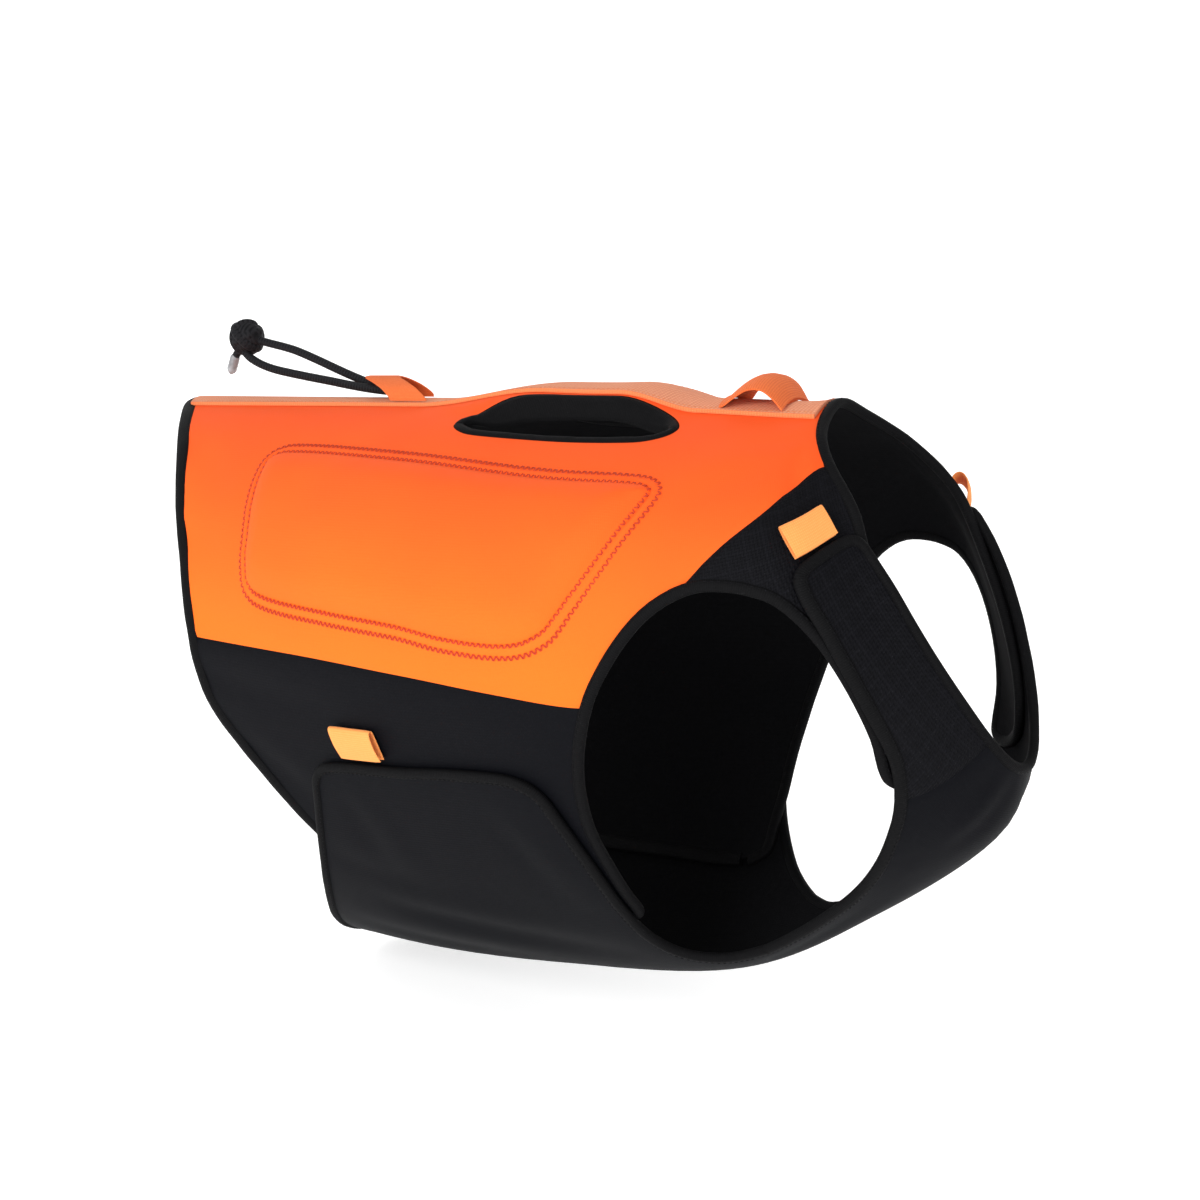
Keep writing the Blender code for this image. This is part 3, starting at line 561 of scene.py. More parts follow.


# ---- materials ----

# Two shades of each cloth. Where a look mixes them by its weave's relief, the first is painted shade in its
# hollows and the second painted light on its high places; other looks mix them by noise, and the orange by
# height.
ORANGE_PAINTED_SHADE_AND_LIGHT = ((0.90, 0.091, 0.015), (0.98, 0.165, 0.015))    # painted shade toward the spine and painted light lower down
ORANGE_HOLLOW = (0.50, 0.05, 0.006)
BLACK = ((0.0020, 0.0021, 0.0032), (0.0042, 0.0045, 0.0062))
LINING = ((0.0035, 0.0035, 0.004), (0.007, 0.007, 0.008))
RIPSTOP = ((0.0010, 0.0010, 0.0016), (0.0058, 0.0058, 0.0078))
BINDING = ((0.0022, 0.0022, 0.0026), (0.0075, 0.0074, 0.0080))
BRAID = ((0.005, 0.005, 0.006), (0.016, 0.016, 0.018))
CLEAR = ((0.30, 0.31, 0.33), (0.58, 0.59, 0.61))
WEBBING = ((0.60, 0.15, 0.07), (0.86, 0.39, 0.22))
BORDER = ((0.78, 0.15, 0.045), (0.95, 0.30, 0.12))
TAPE = ((0.88, 0.275, 0.060), (0.96, 0.385, 0.12))
LOOP = ((0.60, 0.09, 0.022), (0.90, 0.22, 0.06))
# The thread's colour, darkened with painted shade of the dimple each stitch sinks into.
ORANGE_THREAD_AND_DIMPLE_SHADE = ((0.36, 0.022, 0.004), (0.60, 0.055, 0.010))
PALE_THREAD = ((0.60, 0.13, 0.03), (0.85, 0.26, 0.08))
BLACK_THREAD = ((0.002, 0.002, 0.003), (0.005, 0.005, 0.006))


class Look:
    """A procedural material that is built up node by node."""

    def __init__(self, name, roughness, specular, sheen=0.0, tint=(1, 1, 1)):
        self.made = bpy.data.materials.new(name)
        self.made.use_nodes = True
        self.tree = self.made.node_tree
        self.shader = self.tree.nodes["Principled BSDF"]
        self.shader.inputs["Roughness"].default_value = roughness
        self.shader.inputs["Specular IOR Level"].default_value = specular
        self.shader.inputs["Sheen Weight"].default_value = sheen
        self.shader.inputs["Sheen Roughness"].default_value = 0.5
        self.shader.inputs["Sheen Tint"].default_value = (*tint, 1)
        self.place = self.tree.nodes.new("ShaderNodeTexCoord")

    def give(self, socket, value):
        """Set an input to a number or a colour, or link it to an output."""
        if isinstance(value, tuple):
            socket.default_value = (*value, 1)
        elif isinstance(value, (int, float)):
            socket.default_value = value
        else:
            self.tree.links.new(value, socket)

    def math(self, kind, *values):
        node = self.tree.nodes.new("ShaderNodeMath")
        node.operation = kind
        for socket, value in zip(node.inputs, values):
            self.give(socket, value)
        return node.outputs[0]

    def axis(self, output, index):
        node = self.tree.nodes.new("ShaderNodeSeparateXYZ")
        self.tree.links.new(self.place.outputs[output], node.inputs[0])
        return node.outputs[index]

    def noise(self, size_mm, detail=2.0, roughness=0.5):
        node = self.tree.nodes.new("ShaderNodeTexNoise")
        node.inputs["Scale"].default_value = 1000.0 / size_mm
        node.inputs["Detail"].default_value = detail
        node.inputs["Roughness"].default_value = roughness
        self.tree.links.new(self.place.outputs["Object"], node.inputs["Vector"])
        return node.outputs["Fac"]

    def wave(self, value, period_mm, slant=None, lean=0.0):
        """A sine from 0 to 1 across the UV's millimetres, or slanted across both of them."""
        turn = 2 * np.pi * 10 / period_mm
        across = self.math("MULTIPLY", value, turn)
        if slant is not None:
            across = self.math("ADD", across, self.math("MULTIPLY", slant, turn * lean))
        return self.math("MULTIPLY_ADD", self.math("SINE", across), 0.5, 0.5)

    def mix(self, amount, first, second):
        node = self.tree.nodes.new("ShaderNodeMix")
        node.data_type = "RGBA"
        for index, value in ((0, amount), (6, first), (7, second)):
            self.give(node.inputs[index], value)
        return node.outputs[2]

    def colour(self, value):
        self.give(self.shader.inputs["Base Color"], value)
        return self

    def bump(self, height, depth_mm, strength=1.0):
        node = self.tree.nodes.new("ShaderNodeBump")
        node.inputs["Distance"].default_value = depth_mm * MM
        node.inputs["Strength"].default_value = strength
        self.tree.links.new(height, node.inputs["Height"])
        self.tree.links.new(node.outputs[0], self.shader.inputs["Normal"])
        return self


def knit(look, period=1.0):
    """The fine face of knitted neoprene: rows of small loops, with some nap."""
    u, v = look.axis("UV", 0), look.axis("UV", 1)
    loops = look.math("MULTIPLY", look.wave(u, period), look.wave(v, period * 1.3))
    grain = look.noise(1.6, 3.0, 0.6)
    return look.math("MULTIPLY_ADD", grain, 0.7, look.math("MULTIPLY", loops, 0.5))


def neoprene_orange():
    """Painted shade and light: darker and redder toward the spine, lighter and yellower lower down."""
    look = Look("neoprene_orange", 0.75, 0.1, 0.04, (1.0, 0.55, 0.25))
    # Painted light: the colour runs from the darker, redder shade near the top to the lighter, yellower one
    # lower down.
    height = look.axis("Object", 2)
    lower = look.math("MULTIPLY_ADD", height, -1 / 0.12, -0.02)
    soft = look.math("MULTIPLY_ADD", look.noise(70, 1.0), 0.35, -0.17)
    amount = look.math("ADD", lower, soft)
    clamped = look.math("MINIMUM", look.math("MAXIMUM", amount, 0.0), 1.0)
    shade = look.mix(clamped, *ORANGE_PAINTED_SHADE_AND_LIGHT)
    fibre = look.noise(1.1, 2.0, 0.6)
    dark = look.mix(0.14, shade, ORANGE_HOLLOW)
    look.colour(look.mix(fibre, dark, shade))
    return look.bump(knit(look), 0.16, 0.5).made


def neoprene_black():
    look = Look("neoprene_black", 0.6, 0.05)
    look.colour(look.mix(look.noise(1.4, 3.0, 0.6), *BLACK))
    return look.bump(knit(look), 0.18, 0.5).made


def lining():
    look = Look("lining", 0.95, 0.05)
    look.colour(look.mix(look.noise(2.0, 2.0), *LINING))
    return look.bump(knit(look, 1.6), 0.25, 0.5).made


def ripstop():
    """A plain weave of thick yarns with a heavier yarn at every fifth place."""
    look = Look("ripstop_black", 0.6, 0.06)
    u, v = look.axis("UV", 0), look.axis("UV", 1)
    warp, weft = look.wave(u, 1.9), look.wave(v, 1.9)
    over = look.math("GREATER_THAN", look.wave(u, 3.8, v, 1.0), 0.5)
    yarn = look.math("ADD", look.math("MULTIPLY", warp, over),
                     look.math("MULTIPLY", weft, look.math("SUBTRACT", 1.0, over)))
    heavy = look.math("MAXIMUM", look.math("GREATER_THAN", look.wave(u, 9.5), 0.9),
                      look.math("GREATER_THAN", look.wave(v, 9.5), 0.9))
    height = look.math("MULTIPLY_ADD", heavy, 0.4, look.math("ADD", yarn, look.noise(2.5, 2.0)))
    # Painted shade in the weave's hollows and painted light on its yarns.
    look.colour(look.mix(look.math("MULTIPLY", height, 0.45), *RIPSTOP))
    return look.bump(height, 0.3, 0.7).made


def binding_look():
    """Elastic tape with fine ribs across it."""
    look = Look("binding", 0.65, 0.05)
    ribs = look.wave(look.axis("UV", 0), 1.1)
    height = look.math("MULTIPLY_ADD", ribs, 0.7, look.noise(1.5, 2.0))
    # Painted shade between the ribs and painted light on them.
    look.colour(look.mix(look.math("MULTIPLY", height, 0.5), *BINDING))
    return look.bump(height, 0.2, 0.6).made


def woven(name, shades, period, depth, sheen):
    """Tape of coarse ribs, crossed by finer yarns, with a soft fuzz."""
    look = Look(name, 0.88, 0.12, sheen, (1.0, 0.75, 0.6))
    u, v = look.axis("UV", 0), look.axis("UV", 1)
    yarn = look.math("MULTIPLY", look.wave(u, period), look.wave(v, period * 0.8))
    fuzz = look.noise(1.3, 4.0, 0.75)
    height = look.math("MULTIPLY_ADD", fuzz, 0.8, look.math("MULTIPLY", yarn, 0.7))
    # Painted shade in the weave's hollows and painted light on its yarns and fuzz.
    look.colour(look.mix(look.math("MULTIPLY", height, 0.9), *shades))
    return look.bump(height, depth, 0.8).made


def cord_look():
    """A braid: two sets of yarns slanting across each other."""
    look = Look("cord_braid", 0.6, 0.07)
    u, v = look.axis("UV", 0), look.axis("UV", 1)
    braid = look.math("MAXIMUM", look.wave(u, 2.2, v, 0.7), look.wave(u, 2.2, v, -0.7))
    # Painted shade between the braid's yarns and painted light on them.
    look.colour(look.mix(braid, *BRAID))
    return look.bump(look.math("ADD", braid, look.noise(0.9, 2.0)), 0.3, 0.7).made


def clear_look():
    look = Look("clear_tip", 0.14, 0.5)
    look.shader.inputs["Transmission Weight"].default_value = 0.45
    look.shader.inputs["IOR"].default_value = 1.45
    look.colour(look.mix(look.noise(3.0), *CLEAR))
    return look.bump(look.noise(2.0, 2.0), 0.15, 0.4).made


def thread_look(name, shades, gloss=0.3):
    look = Look(name, 0.6, gloss)
    look.colour(look.mix(look.noise(0.7, 1.0), *shades))
    return look.bump(look.noise(0.4, 1.0), 0.08, 0.5).made


LOOKS = {
    "orange": neoprene_orange(),
    "black": neoprene_black(),
    "lining": lining(),
    "ripstop": ripstop(),
    "binding": binding_look(),
    "webbing": woven("webbing", WEBBING, period=2.2, depth=0.5, sheen=0.1),
    "border": woven("webbing_border", BORDER, period=1.6, depth=0.3, sheen=0.05),
    "tape": woven("tape", TAPE, period=1.2, depth=0.1, sheen=0.1),
    "loop": woven("loop_tape", LOOP, period=1.4, depth=0.25, sheen=0.05),
    "cord": cord_look(),
    "clear": clear_look(),
    "orange_thread_and_shade": thread_look("orange_thread_and_shade", ORANGE_THREAD_AND_DIMPLE_SHADE),
    "pale_thread": thread_look("pale_thread", PALE_THREAD),
    "black_thread": thread_look("black_thread", BLACK_THREAD, gloss=0.08),
}


# ---- elastic cord, its knot and its tip ----

CORD = 5.0             # its width
CORD_UPPER = [(-182.0, 1.5, 31.8), (-174, 2.0, 30.4), (-163, 2.4, 28.6), (-152.8, 2.7, 26.4),
              (-137.1, 3.0, 21.8), (-121.6, 3.0, 17.0), (-108, 3.0, 13.0), (-96, 3.0, 9.8),
              (-84, 3.0, 7.6), (-70, 3.0, 6.4)]
CORD_TURN = [(-189.0, 0.8, 33.0), (-194.5, -0.6, 31.5), (-195.5, -1.6, 27.0)]
CORD_LOWER = [(-190.0, -2.4, 22.6), (-185, -2.6, 20.2), (-177.9, -2.8, 17.8), (-168, -3.0, 15.6),
              (-155, -3.0, 13.8), (-137.4, -3.0, 11.8), (-120, -3.0, 10.0), (-104, -3.0, 8.2),
              (-88, -3.0, 6.8), (-72, -3.0, 6.0)]
KNOT_AT = np.array([-193.8, 0.0, 34.0])
KNOT_RADII = np.array([12.6, 11.2, 11.6])
KNOT_CORE = 0.84       # the share of the knot that its core fills under the strands
STRAND = 6.6           # width of a strand round the knot
# Turns of the strand round the knot: two tilts, distance from the middle, first and last angle
WRAPS = [(-62, 14, 7.6, -20, 325), (-12, -28, 7.4, 60, 395), (48, 30, 6.9, 150, 470)]
TAIL = [(-198.0, -1.0, 27.5), (-201.5, -1.3, 24.0), (-204.0, -1.5, 20.0), (-205.3, -1.5, 17.0)]
TAIL_WIDE = 4.8
TIP = [(-203.4, -1.5, 21.4), (-204.6, -1.5, 18.4), (-206.4, -1.5, 14.2)]
TIP_WIDE = 6.0


def wrapped(tilt, lean, reach, start, end):
    """A strand's turn round the knot, on a circle tipped by two angles, from one angle to another."""
    t = np.radians(np.linspace(start, end, 60))
    ring = np.stack([np.sin(t) * 0.32, np.cos(t), np.sin(t)], -1) * reach
    a, b = radians(tilt), radians(lean)
    about_y = np.array([[np.cos(a), 0, np.sin(a)], [0, 1, 0], [-np.sin(a), 0, np.cos(a)]])
    about_z = np.array([[np.cos(b), -np.sin(b), 0], [np.sin(b), np.cos(b), 0], [0, 0, 1]])
    return KNOT_AT + ring @ about_y.T @ about_z.T * KNOT_RADII / KNOT_RADII[1]


def knot_core():
    """Rings of points on the core, from its front end to its rear one."""
    polar, turn = np.meshgrid(np.linspace(4, 176, 19), np.arange(0, 360, 15), indexing="ij")
    polar, turn = np.radians(polar), np.radians(turn)
    ball = np.stack([np.cos(polar), np.sin(polar) * np.cos(turn), np.sin(polar) * np.sin(turn)], -1)
    return KNOT_AT + ball * KNOT_RADII * KNOT_CORE


made = {}
cord_path = fine_path(CORD_UPPER[::-1] + CORD_TURN + CORD_LOWER, 1.6)
made["cord"] = round_tube("cord_elastic", cord_path, CORD, LOOKS["cord"])
for number, row in enumerate(WRAPS):
    made["knot_%d" % number] = round_tube("cord_knot_wrap_%d" % number, wrapped(*row), STRAND, LOOKS["cord"])
made["knot_core"] = tube("cord_knot_core", knot_core(), LOOKS["cord"])
made["tail"] = round_tube("cord_tail", fine_path(TAIL, 1.0), TAIL_WIDE, LOOKS["cord"])
made["tip"] = round_tube("clear_tip_sleeve", fine_path(TIP, 0.8), TIP_WIDE, LOOKS["clear"])

# ---- soft folds ----

# Troughs drawn one by one: start, bend and end as (station, degrees), half width and depth in mm. A negative
# depth is a ridge. Each trough has a low ridge on its upper side.
SADDLE_FOLDS = [
    (1.90, 86.0, 2.60, 86.5, 3.50, 90.0, 6.0, 1.0),
    (2.30, 98.0, 2.72, 104.0, 3.00, 114.0, 7.5, 0.9),
    (1.25, 28.0, 1.80, 33.0, 2.30, 45.0, 9.0, 0.9),
    (1.60, 60.0, 1.95, 55.0, 2.42, 58.0, 8.0, 0.7),
    (1.75, 72.0, 2.40, 74.5, 3.10, 73.0, 9.0, 0.6),
    (6.20, 47.0, 6.65, 40.0, 7.45, 35.0, 10.0, 1.0),
    (6.60, 27.0, 7.10, 24.0, 7.75, 27.0, 8.0, 0.7),
    (5.45, 80.0, 5.80, 68.0, 6.20, 56.0, 9.0, 0.8),
    (7.62, 30.0, 7.50, 42.0, 7.62, 58.0, 6.5, 1.5),
    (7.95, 44.0, 7.82, 54.0, 7.95, 66.0, 5.5, 0.9),
    (7.30, 92.0, 7.48, 112.0, 7.42, 131.0, 6.0, 0.6),
    (3.45, 96.0, 4.05, 92.0, 4.70, 93.0, 7.0, 0.6),
]
LEFT_SADDLE_FOLDS = [
    (1.92, 87.5, 2.50, 88.5, 3.20, 88.0, 6.5, 0.9),
    (2.42, 101.0, 2.80, 108.0, 3.02, 118.0, 7.0, 1.0),
    (1.30, 31.0, 1.75, 38.0, 2.28, 43.0, 8.0, 0.8),
    (1.70, 66.0, 2.00, 60.0, 2.40, 64.0, 9.0, 0.8),
    (6.28, 50.0, 6.80, 43.0, 7.30, 40.0, 9.0, 0.9),
    (6.72, 24.0, 7.25, 22.0, 7.72, 30.0, 9.0, 0.7),
    (5.50, 76.0, 5.75, 65.0, 6.25, 52.0, 9.5, 0.9),
    (7.50, 32.0, 7.36, 45.0, 7.52, 60.0, 6.5, 1.4),
    (7.88, 41.0, 7.76, 52.0, 7.90, 63.0, 5.5, 0.8),
    (7.34, 94.0, 7.50, 108.0, 7.46, 126.0, 6.0, 0.6),
    (3.60, 94.0, 4.15, 93.5, 4.66, 91.0, 7.0, 0.5),
]
CHEST_FOLDS = [
    (2.98, 137.0, 3.58, 142.0, 4.66, 152.0, 9.0, 1.7),
    (2.56, 149.0, 3.20, 157.0, 4.10, 163.0, 11.0, 1.2),
    (3.18, 106.0, 3.34, 114.0, 3.20, 125.0, 8.0, 0.7),
    (4.28, 106.0, 4.46, 118.0, 4.36, 131.0, 8.0, 0.8),
    (2.78, 122.0, 3.10, 127.0, 3.62, 128.0, 8.0, 0.6),
    (5.10, 170.0, 5.85, 168.0, 6.60, 158.0, 9.0, 1.3),
    (6.85, 157.0, 7.30, 163.0, 7.75, 172.0, 8.0, 1.1),
    (5.95, 162.0, 6.30, 157.0, 6.72, 148.0, 6.5, 0.8),
    (7.30, 146.0, 7.60, 154.0, 7.90, 165.0, 7.0, 0.7),
    (2.50, 171.0, 3.30, 175.0, 4.20, 172.0, 10.0, 1.0),
    (7.34, 84.0, 7.70, 93.0, 8.16, 95.0, 8.0, 0.5),
    (7.30, 118.0, 7.66, 126.0, 8.05, 137.0, 8.0, 0.6),
]
LEFT_CHEST_FOLDS = [
    (2.96, 135.0, 3.70, 143.0, 4.60, 148.0, 9.5, 1.6),
    (2.60, 151.0, 3.10, 160.0, 3.90, 164.0, 10.0, 1.1),
    (3.30, 105.0, 3.46, 116.0, 3.34, 128.0, 8.5, 0.7),
    (4.20, 107.0, 4.34, 116.0, 4.20, 128.0, 7.5, 0.8),
    (2.84, 120.0, 3.20, 124.0, 3.75, 124.0, 8.0, 0.6),
    (5.20, 168.0, 5.80, 166.0, 6.45, 160.0, 9.0, 1.2),
    (6.80, 160.0, 7.20, 165.0, 7.70, 170.0, 8.0, 1.0),
    (6.00, 160.0, 6.38, 155.0, 6.70, 150.0, 6.5, 0.8),
    (2.56, 173.0, 3.20, 172.0, 4.00, 175.0, 10.0, 0.9),
    (7.36, 86.0, 7.74, 96.0, 8.14, 99.0, 8.0, 0.5),
    (7.34, 120.0, 7.68, 129.0, 8.02, 139.0, 8.0, 0.6),
]


def nearest(spots, line):
    """The signed distance from each spot to a line, and how far along the line that is, from 0 to 1."""
    start, way = line[:-1], np.diff(line, axis=0)
    size = np.maximum((way**2).sum(1), 1e-9)
    part = np.clip(((spots[:, None] - start) * way).sum(2) / size, 0, 1)
    off = spots[:, None] - start - part[..., None] * way
    apart = np.linalg.norm(off, axis=2)
    best = apart.argmin(1)
    row = np.arange(len(spots))
    off, step = off[row, best], way[best]
    side = np.sign(step[:, 0] * off[:, 1] - step[:, 1] * off[:, 0])
    return apart[row, best] * side, (best + part[row, best]) / len(way)


def folds(places, table):
    """The height of the folds at each place, in mm."""
    spots = flat(places)
    height = np.zeros(len(spots))
    t = np.linspace(0, 1, 15)[:, None]
    for start_s, start_a, bend_s, bend_a, end_s, end_a, width, depth in table:
        a, b, c = flat(np.array([(start_s, start_a), (bend_s, bend_a), (end_s, end_a)], float))
        line = a * (1 - t) ** 2 + 2 * b * t * (1 - t) + c * t**2
        off, part = nearest(spots, line)
        fade = np.clip(np.sin(np.pi * part), 0, 1) ** 0.8
        open_up = width * (0.75 + 0.6 * part)
        trough = np.exp(-(off / open_up) ** 2)
        ridge = 0.6 * np.exp(-((off + 1.7 * open_up) / (1.2 * open_up)) ** 2)
        height += depth * fade * (ridge - trough)
    return height


def dip(places, lines, at, wide, deep):
    """A groove in the cloth at this distance from the lines."""
    return -deep * np.exp(-((clearance(flat(places), lines) - at) / wide) ** 2)


# ---- saddle: back, side and shoulder panels ----

FINE = 6.0             # an edge's points are at most this far apart
FINE_TURN = 9.0        # and turn by this many degrees at most
MIDDLE_GAP = 0.12      # degrees from the middle plane to the back panels' edge at the spine
FLANK_END = 5.65       # station where the flank seam's panel ends
YOKE_START = 6.1       # and where the yoke starts
BESIDE = (1.6, 3.6)    # lines of points beside a seam, for its groove
SEAM_GROOVE = {"at": 0.0, "wide": 1.5, "deep": 0.7}
STRAP_GROOVE = {"at": 0.0, "wide": 1.5, "deep": 0.6}
RIM_GROOVE = {"at": 1.2, "wide": 2.2, "deep": 0.35}
LINING_FOLD = 0.75     # the share of a fold that shows on the inside

hem, low, arm, tongue = (traced(rows, FINE, FINE_TURN) for rows in (HEM, SIDE_LOW, ARMHOLE, TONGUE))
saddle_edge = np.vstack([hem, low[1:], arm[1:], tongue[1:]])
SADDLE_SIDE = inward(saddle_edge)
saddle_cloth = moved_half(saddle_edge, (BIND_CLOTH - BIND_LAP) * SADDLE_SIDE, 0)
saddle_cloth[:, 1] = np.maximum(saddle_cloth[:, 1], MIDDLE_GAP)
spine = np.array([(s, MIDDLE_GAP) for s in np.linspace(saddle_cloth[-1, 0], saddle_cloth[0, 0], 70)[1:-1]])
saddle_outline = np.vstack([saddle_cloth, spine])
flank = traced(SEAM_FLANK, FINE, FINE_TURN)
yoke = traced(SEAM_YOKE, FINE, FINE_TURN)
slit = traced(SLIT, most=5, turn=9, closed=True)
beside = [moved(line, side * off) for line in (flank, yoke) for side in (-1, 1) for off in BESIDE]
places, triangles, middles = cut_cloth(saddle_outline, [flank, yoke] + beside, 6.0, 5.0, holes=[slit])
saddle_rim = [flat(saddle_cloth)]
seams = [flat(flank), flat(yoke)]


def below(middle, line):
    """Which of the middles lie below the line, round from the spine."""
    return middle[:, 1] > np.interp(middle[:, 0], line[:, 0], line[:, 1])


at_flank = (middles[:, 0] < FLANK_END) & below(middles, flank)
at_yoke = (middles[:, 0] > YOKE_START) & below(middles, yoke)
SADDLE_PARTS = (("back_panel_", ~at_flank & ~at_yoke, "orange"), ("side_panel_", at_flank, "black"),
                ("shoulder_panel_", at_yoke, "ripstop"))


def saddle_top(table):
    return lambda spots: (CLOTH + folds(spots, table) + dip(spots, seams, **SEAM_GROOVE)
                          + dip(spots, saddle_rim, **RIM_GROOVE))


def saddle_under(table):
    return lambda spots: LINING_FOLD * folds(spots, table)


for (side, mirrored), table in zip(SIDES, (LEFT_SADDLE_FOLDS, SADDLE_FOLDS)):
    for start, chosen, look in SADDLE_PARTS:
        name = start + side
        made[name] = shell("cloth_" + name, piece_of(places, triangles[chosen]), saddle_under(table),
                           saddle_top(table), [LOOKS[look], LOOKS["lining"]], mirrored)

# ---- chest and belly piece, with its straps ----

STRAP_START = 6.55     # station behind which the chest piece has no strap
strap_seam = traced(SEAM_STRAP, FINE, FINE_TURN)
strap_line = [flat(strap_seam)]
beside_strap = [moved(strap_seam, off) for off in (-BESIDE[1], -BESIDE[0], *BESIDE)]


def chest_half(flap, leg, table):
    """One side's half of the chest piece: its edge, how far the flap and leg stretches of it run, its folds,
    and the cloth of its body and its strap."""
    rows = [traced(line, FINE, FINE_TURN) for line in (flap, leg, COLLAR)]
    edge = np.vstack([rows[0], rows[1][1:], rows[2][1:]])
    toward = inward(edge)
    cloth = moved_half(edge, (BIND_CLOTH - BIND_LAP) * toward, 180)
    cloth[0, 1] = cloth[-1, 1] = 180
    cloth[:, 1] = np.minimum(cloth[:, 1], 180)
    keel = np.array([(s, 180.0) for s in np.linspace(cloth[-1, 0], cloth[0, 0], 90)[1:-1]])
    places, faces, middles = cut_cloth(np.vstack([cloth, keel]), [strap_seam] + beside_strap, 6.5, 5.5)
    at_strap = (middles[:, 0] > STRAP_START) & ~below(middles, strap_seam)
    return {"edge": edge, "toward": toward, "flap": len(rows[0]) - 1, "leg": len(rows[1]) - 1,
            "table": table, "rim": [flat(cloth)], "body": piece_of(places, faces[~at_strap]),
            "strap": piece_of(places, faces[at_strap])}


chest = {"left": chest_half(FLAP_LEFT, LEG_LEFT, LEFT_CHEST_FOLDS),
         "right": chest_half(FLAP, LEG, CHEST_FOLDS)}


def half_height(spots, side, share):
    """The relief of the chest cloth on one side's half."""
    there = chest[side]
    return (share * folds(spots, there["table"]) * smooth(180 - spots[:, 1], 0, 5)
            + share * (dip(spots, strap_line, **STRAP_GROOVE) + dip(spots, there["rim"], **RIM_GROOVE)))


def chest_height(base, share):
    def height(spots):
        folded = spots.copy()
        over = spots[:, 1] > 180
        folded[over, 1] = 360 - spots[over, 1]
        out = np.where(over, half_height(folded, "right", share), half_height(folded, "left", share))
        return base + out
    return height


def strap_height(side, base, share):
    return lambda spots: base + half_height(spots, side, share)


made["chest_panel"] = shell("cloth_chest_panel", joined(chest["left"]["body"], chest["right"]["body"]),
                            chest_height(CHEST_IN, 0.5), chest_height(CHEST_OUT, 1.0),
                            [LOOKS["black"], LOOKS["lining"]])
for side, mirrored in SIDES:
    made["strap_" + side] = shell("cloth_strap_" + side, chest[side]["strap"],
                                  strap_height(side, CHEST_IN, 0.4), strap_height(side, CHEST_OUT, 1.0),
                                  [LOOKS["ripstop"], LOOKS["lining"]], mirrored)

# ---- flank pads: foam under stitched cloth ----

PAD_RIM = 1.8          # the pad's cloth goes this far past its outline
PAD_LINES = (2.2, 7.8)    # the two lines of stitches, in from that rim
PAD_GROOVES = ((0.95, 1.3), (1.35, 1.5))    # how deep and how wide each line draws the cloth in
PAD_UNDER = 2.2        # its underside, down in the back panel
PAD_LOW = 3.02         # lowest of its top, just over the back panel
PAD_START = 3.1        # its top at the rim
PAD_PUFF = 1.55        # what the cloth between the lines stands up by
PAD_DOME = 6.0         # and what the foam adds inside them, over the next stretch
PAD_SLOPE = (7.0, 24)
PAD_AROUND = 830       # length of the pad's edge
PUCKER = 0.16          # height of the puckers, which lie in two bands: middle and half width, in from the rim
PUCKERED = ((5.1, 2.0), (12.0, 3.2))
PAD_RINGS = (1.8, 3.4, 5.1, 6.8, 8.4, 10.2, 12.6)    # lines of points in from the rim, for the grooves
pad_stitched = traced(PAD, most=6, turn=8, closed=True)
PAD_WAY = into_ring(pad_stitched)
pad = moved(pad_stitched, -PAD_WAY * PAD_RIM, closed=True)
pad_rings = [moved(pad, PAD_WAY * d, closed=True) for d in PAD_RINGS]
pad_cut = cut_cloth(pad, [], 6.0, 5.0, extra=pad_rings)
pad_edge = shut(flat(pad))


def pad_top(places):
    """A puff between the two lines of stitches, puckers beside them, then the foam's dome."""
    off, part = nearest(flat(places), pad_edge)
    off = np.abs(off)
    run = part * PAD_AROUND
    pucker = np.sin(run / 1.9 + 1.6 * np.sin(run / 17)) + 0.7 * np.sin(run / 3.3 + 2.0)
    height = PAD_START + PAD_PUFF * smooth(off, 0, PAD_SLOPE[0]) + PAD_DOME * smooth(off, *PAD_SLOPE) ** 0.7
    for line, (deep, wide) in zip(PAD_LINES, PAD_GROOVES):
        height -= deep * np.exp(-((off - line) / wide) ** 2)
    outer, inner = (np.exp(-((off - at) / half) ** 2) for at, half in PUCKERED)
    height += PUCKER * pucker * (outer + 0.9 * inner)
    return np.maximum(height, PAD_LOW) + folds(places, PAD_FOLDS)


PAD_FOLDS = [
    (2.72, 62.0, 3.20, 58.0, 3.70, 62.0, 10.0, 0.7),
    (5.72, 42.0, 5.50, 46.0, 5.20, 44.0, 9.0, 0.7),
    (2.75, 36.0, 3.10, 41.0, 3.60, 42.0, 10.0, 0.6),
    (4.95, 66.0, 5.05, 60.0, 5.38, 55.0, 9.0, 0.7),
]
for side, mirrored in SIDES:
    made["flank_pad_" + side] = shell("cloth_flank_pad_" + side, pad_cut[:2], PAD_UNDER, pad_top,
                                      [LOOKS["orange"], LOOKS["orange"]], mirrored)

# ---- bound edges ----

# How far in from the edge and how high, as a section of the folded tape
BIND_SECTION = [(0.1, 0.9), (0.1, 2.3), (0.7, 3.3), (1.8, 3.95), (3.2, 4.1), (4.6, 3.75), (5.6, 3.1),
                (5.7, 2.5), (5.7, 0.3), (5.2, -0.4), (3.4, -0.8), (1.6, -0.7), (0.6, -0.1)]
BIND_CROWN = 2.9       # what lies above this wanders up and down
SEW_IN = 4.7           # its stitches, in from the edge
SEW_HEIGHT = 3.78
HEM_STRETCH = 1.5      # the hem's tape is wider
SLIT_BASE = 0.2        # height of the slits' tape over the form
HANDLE_BELOW = 16.5    # degrees from the spine within which a slit's edge is the handle's
HANDLE_STRETCH = 0.6   # there the tape is this much wider
HANDLE_CURL = 3.2      # and hangs down by this much


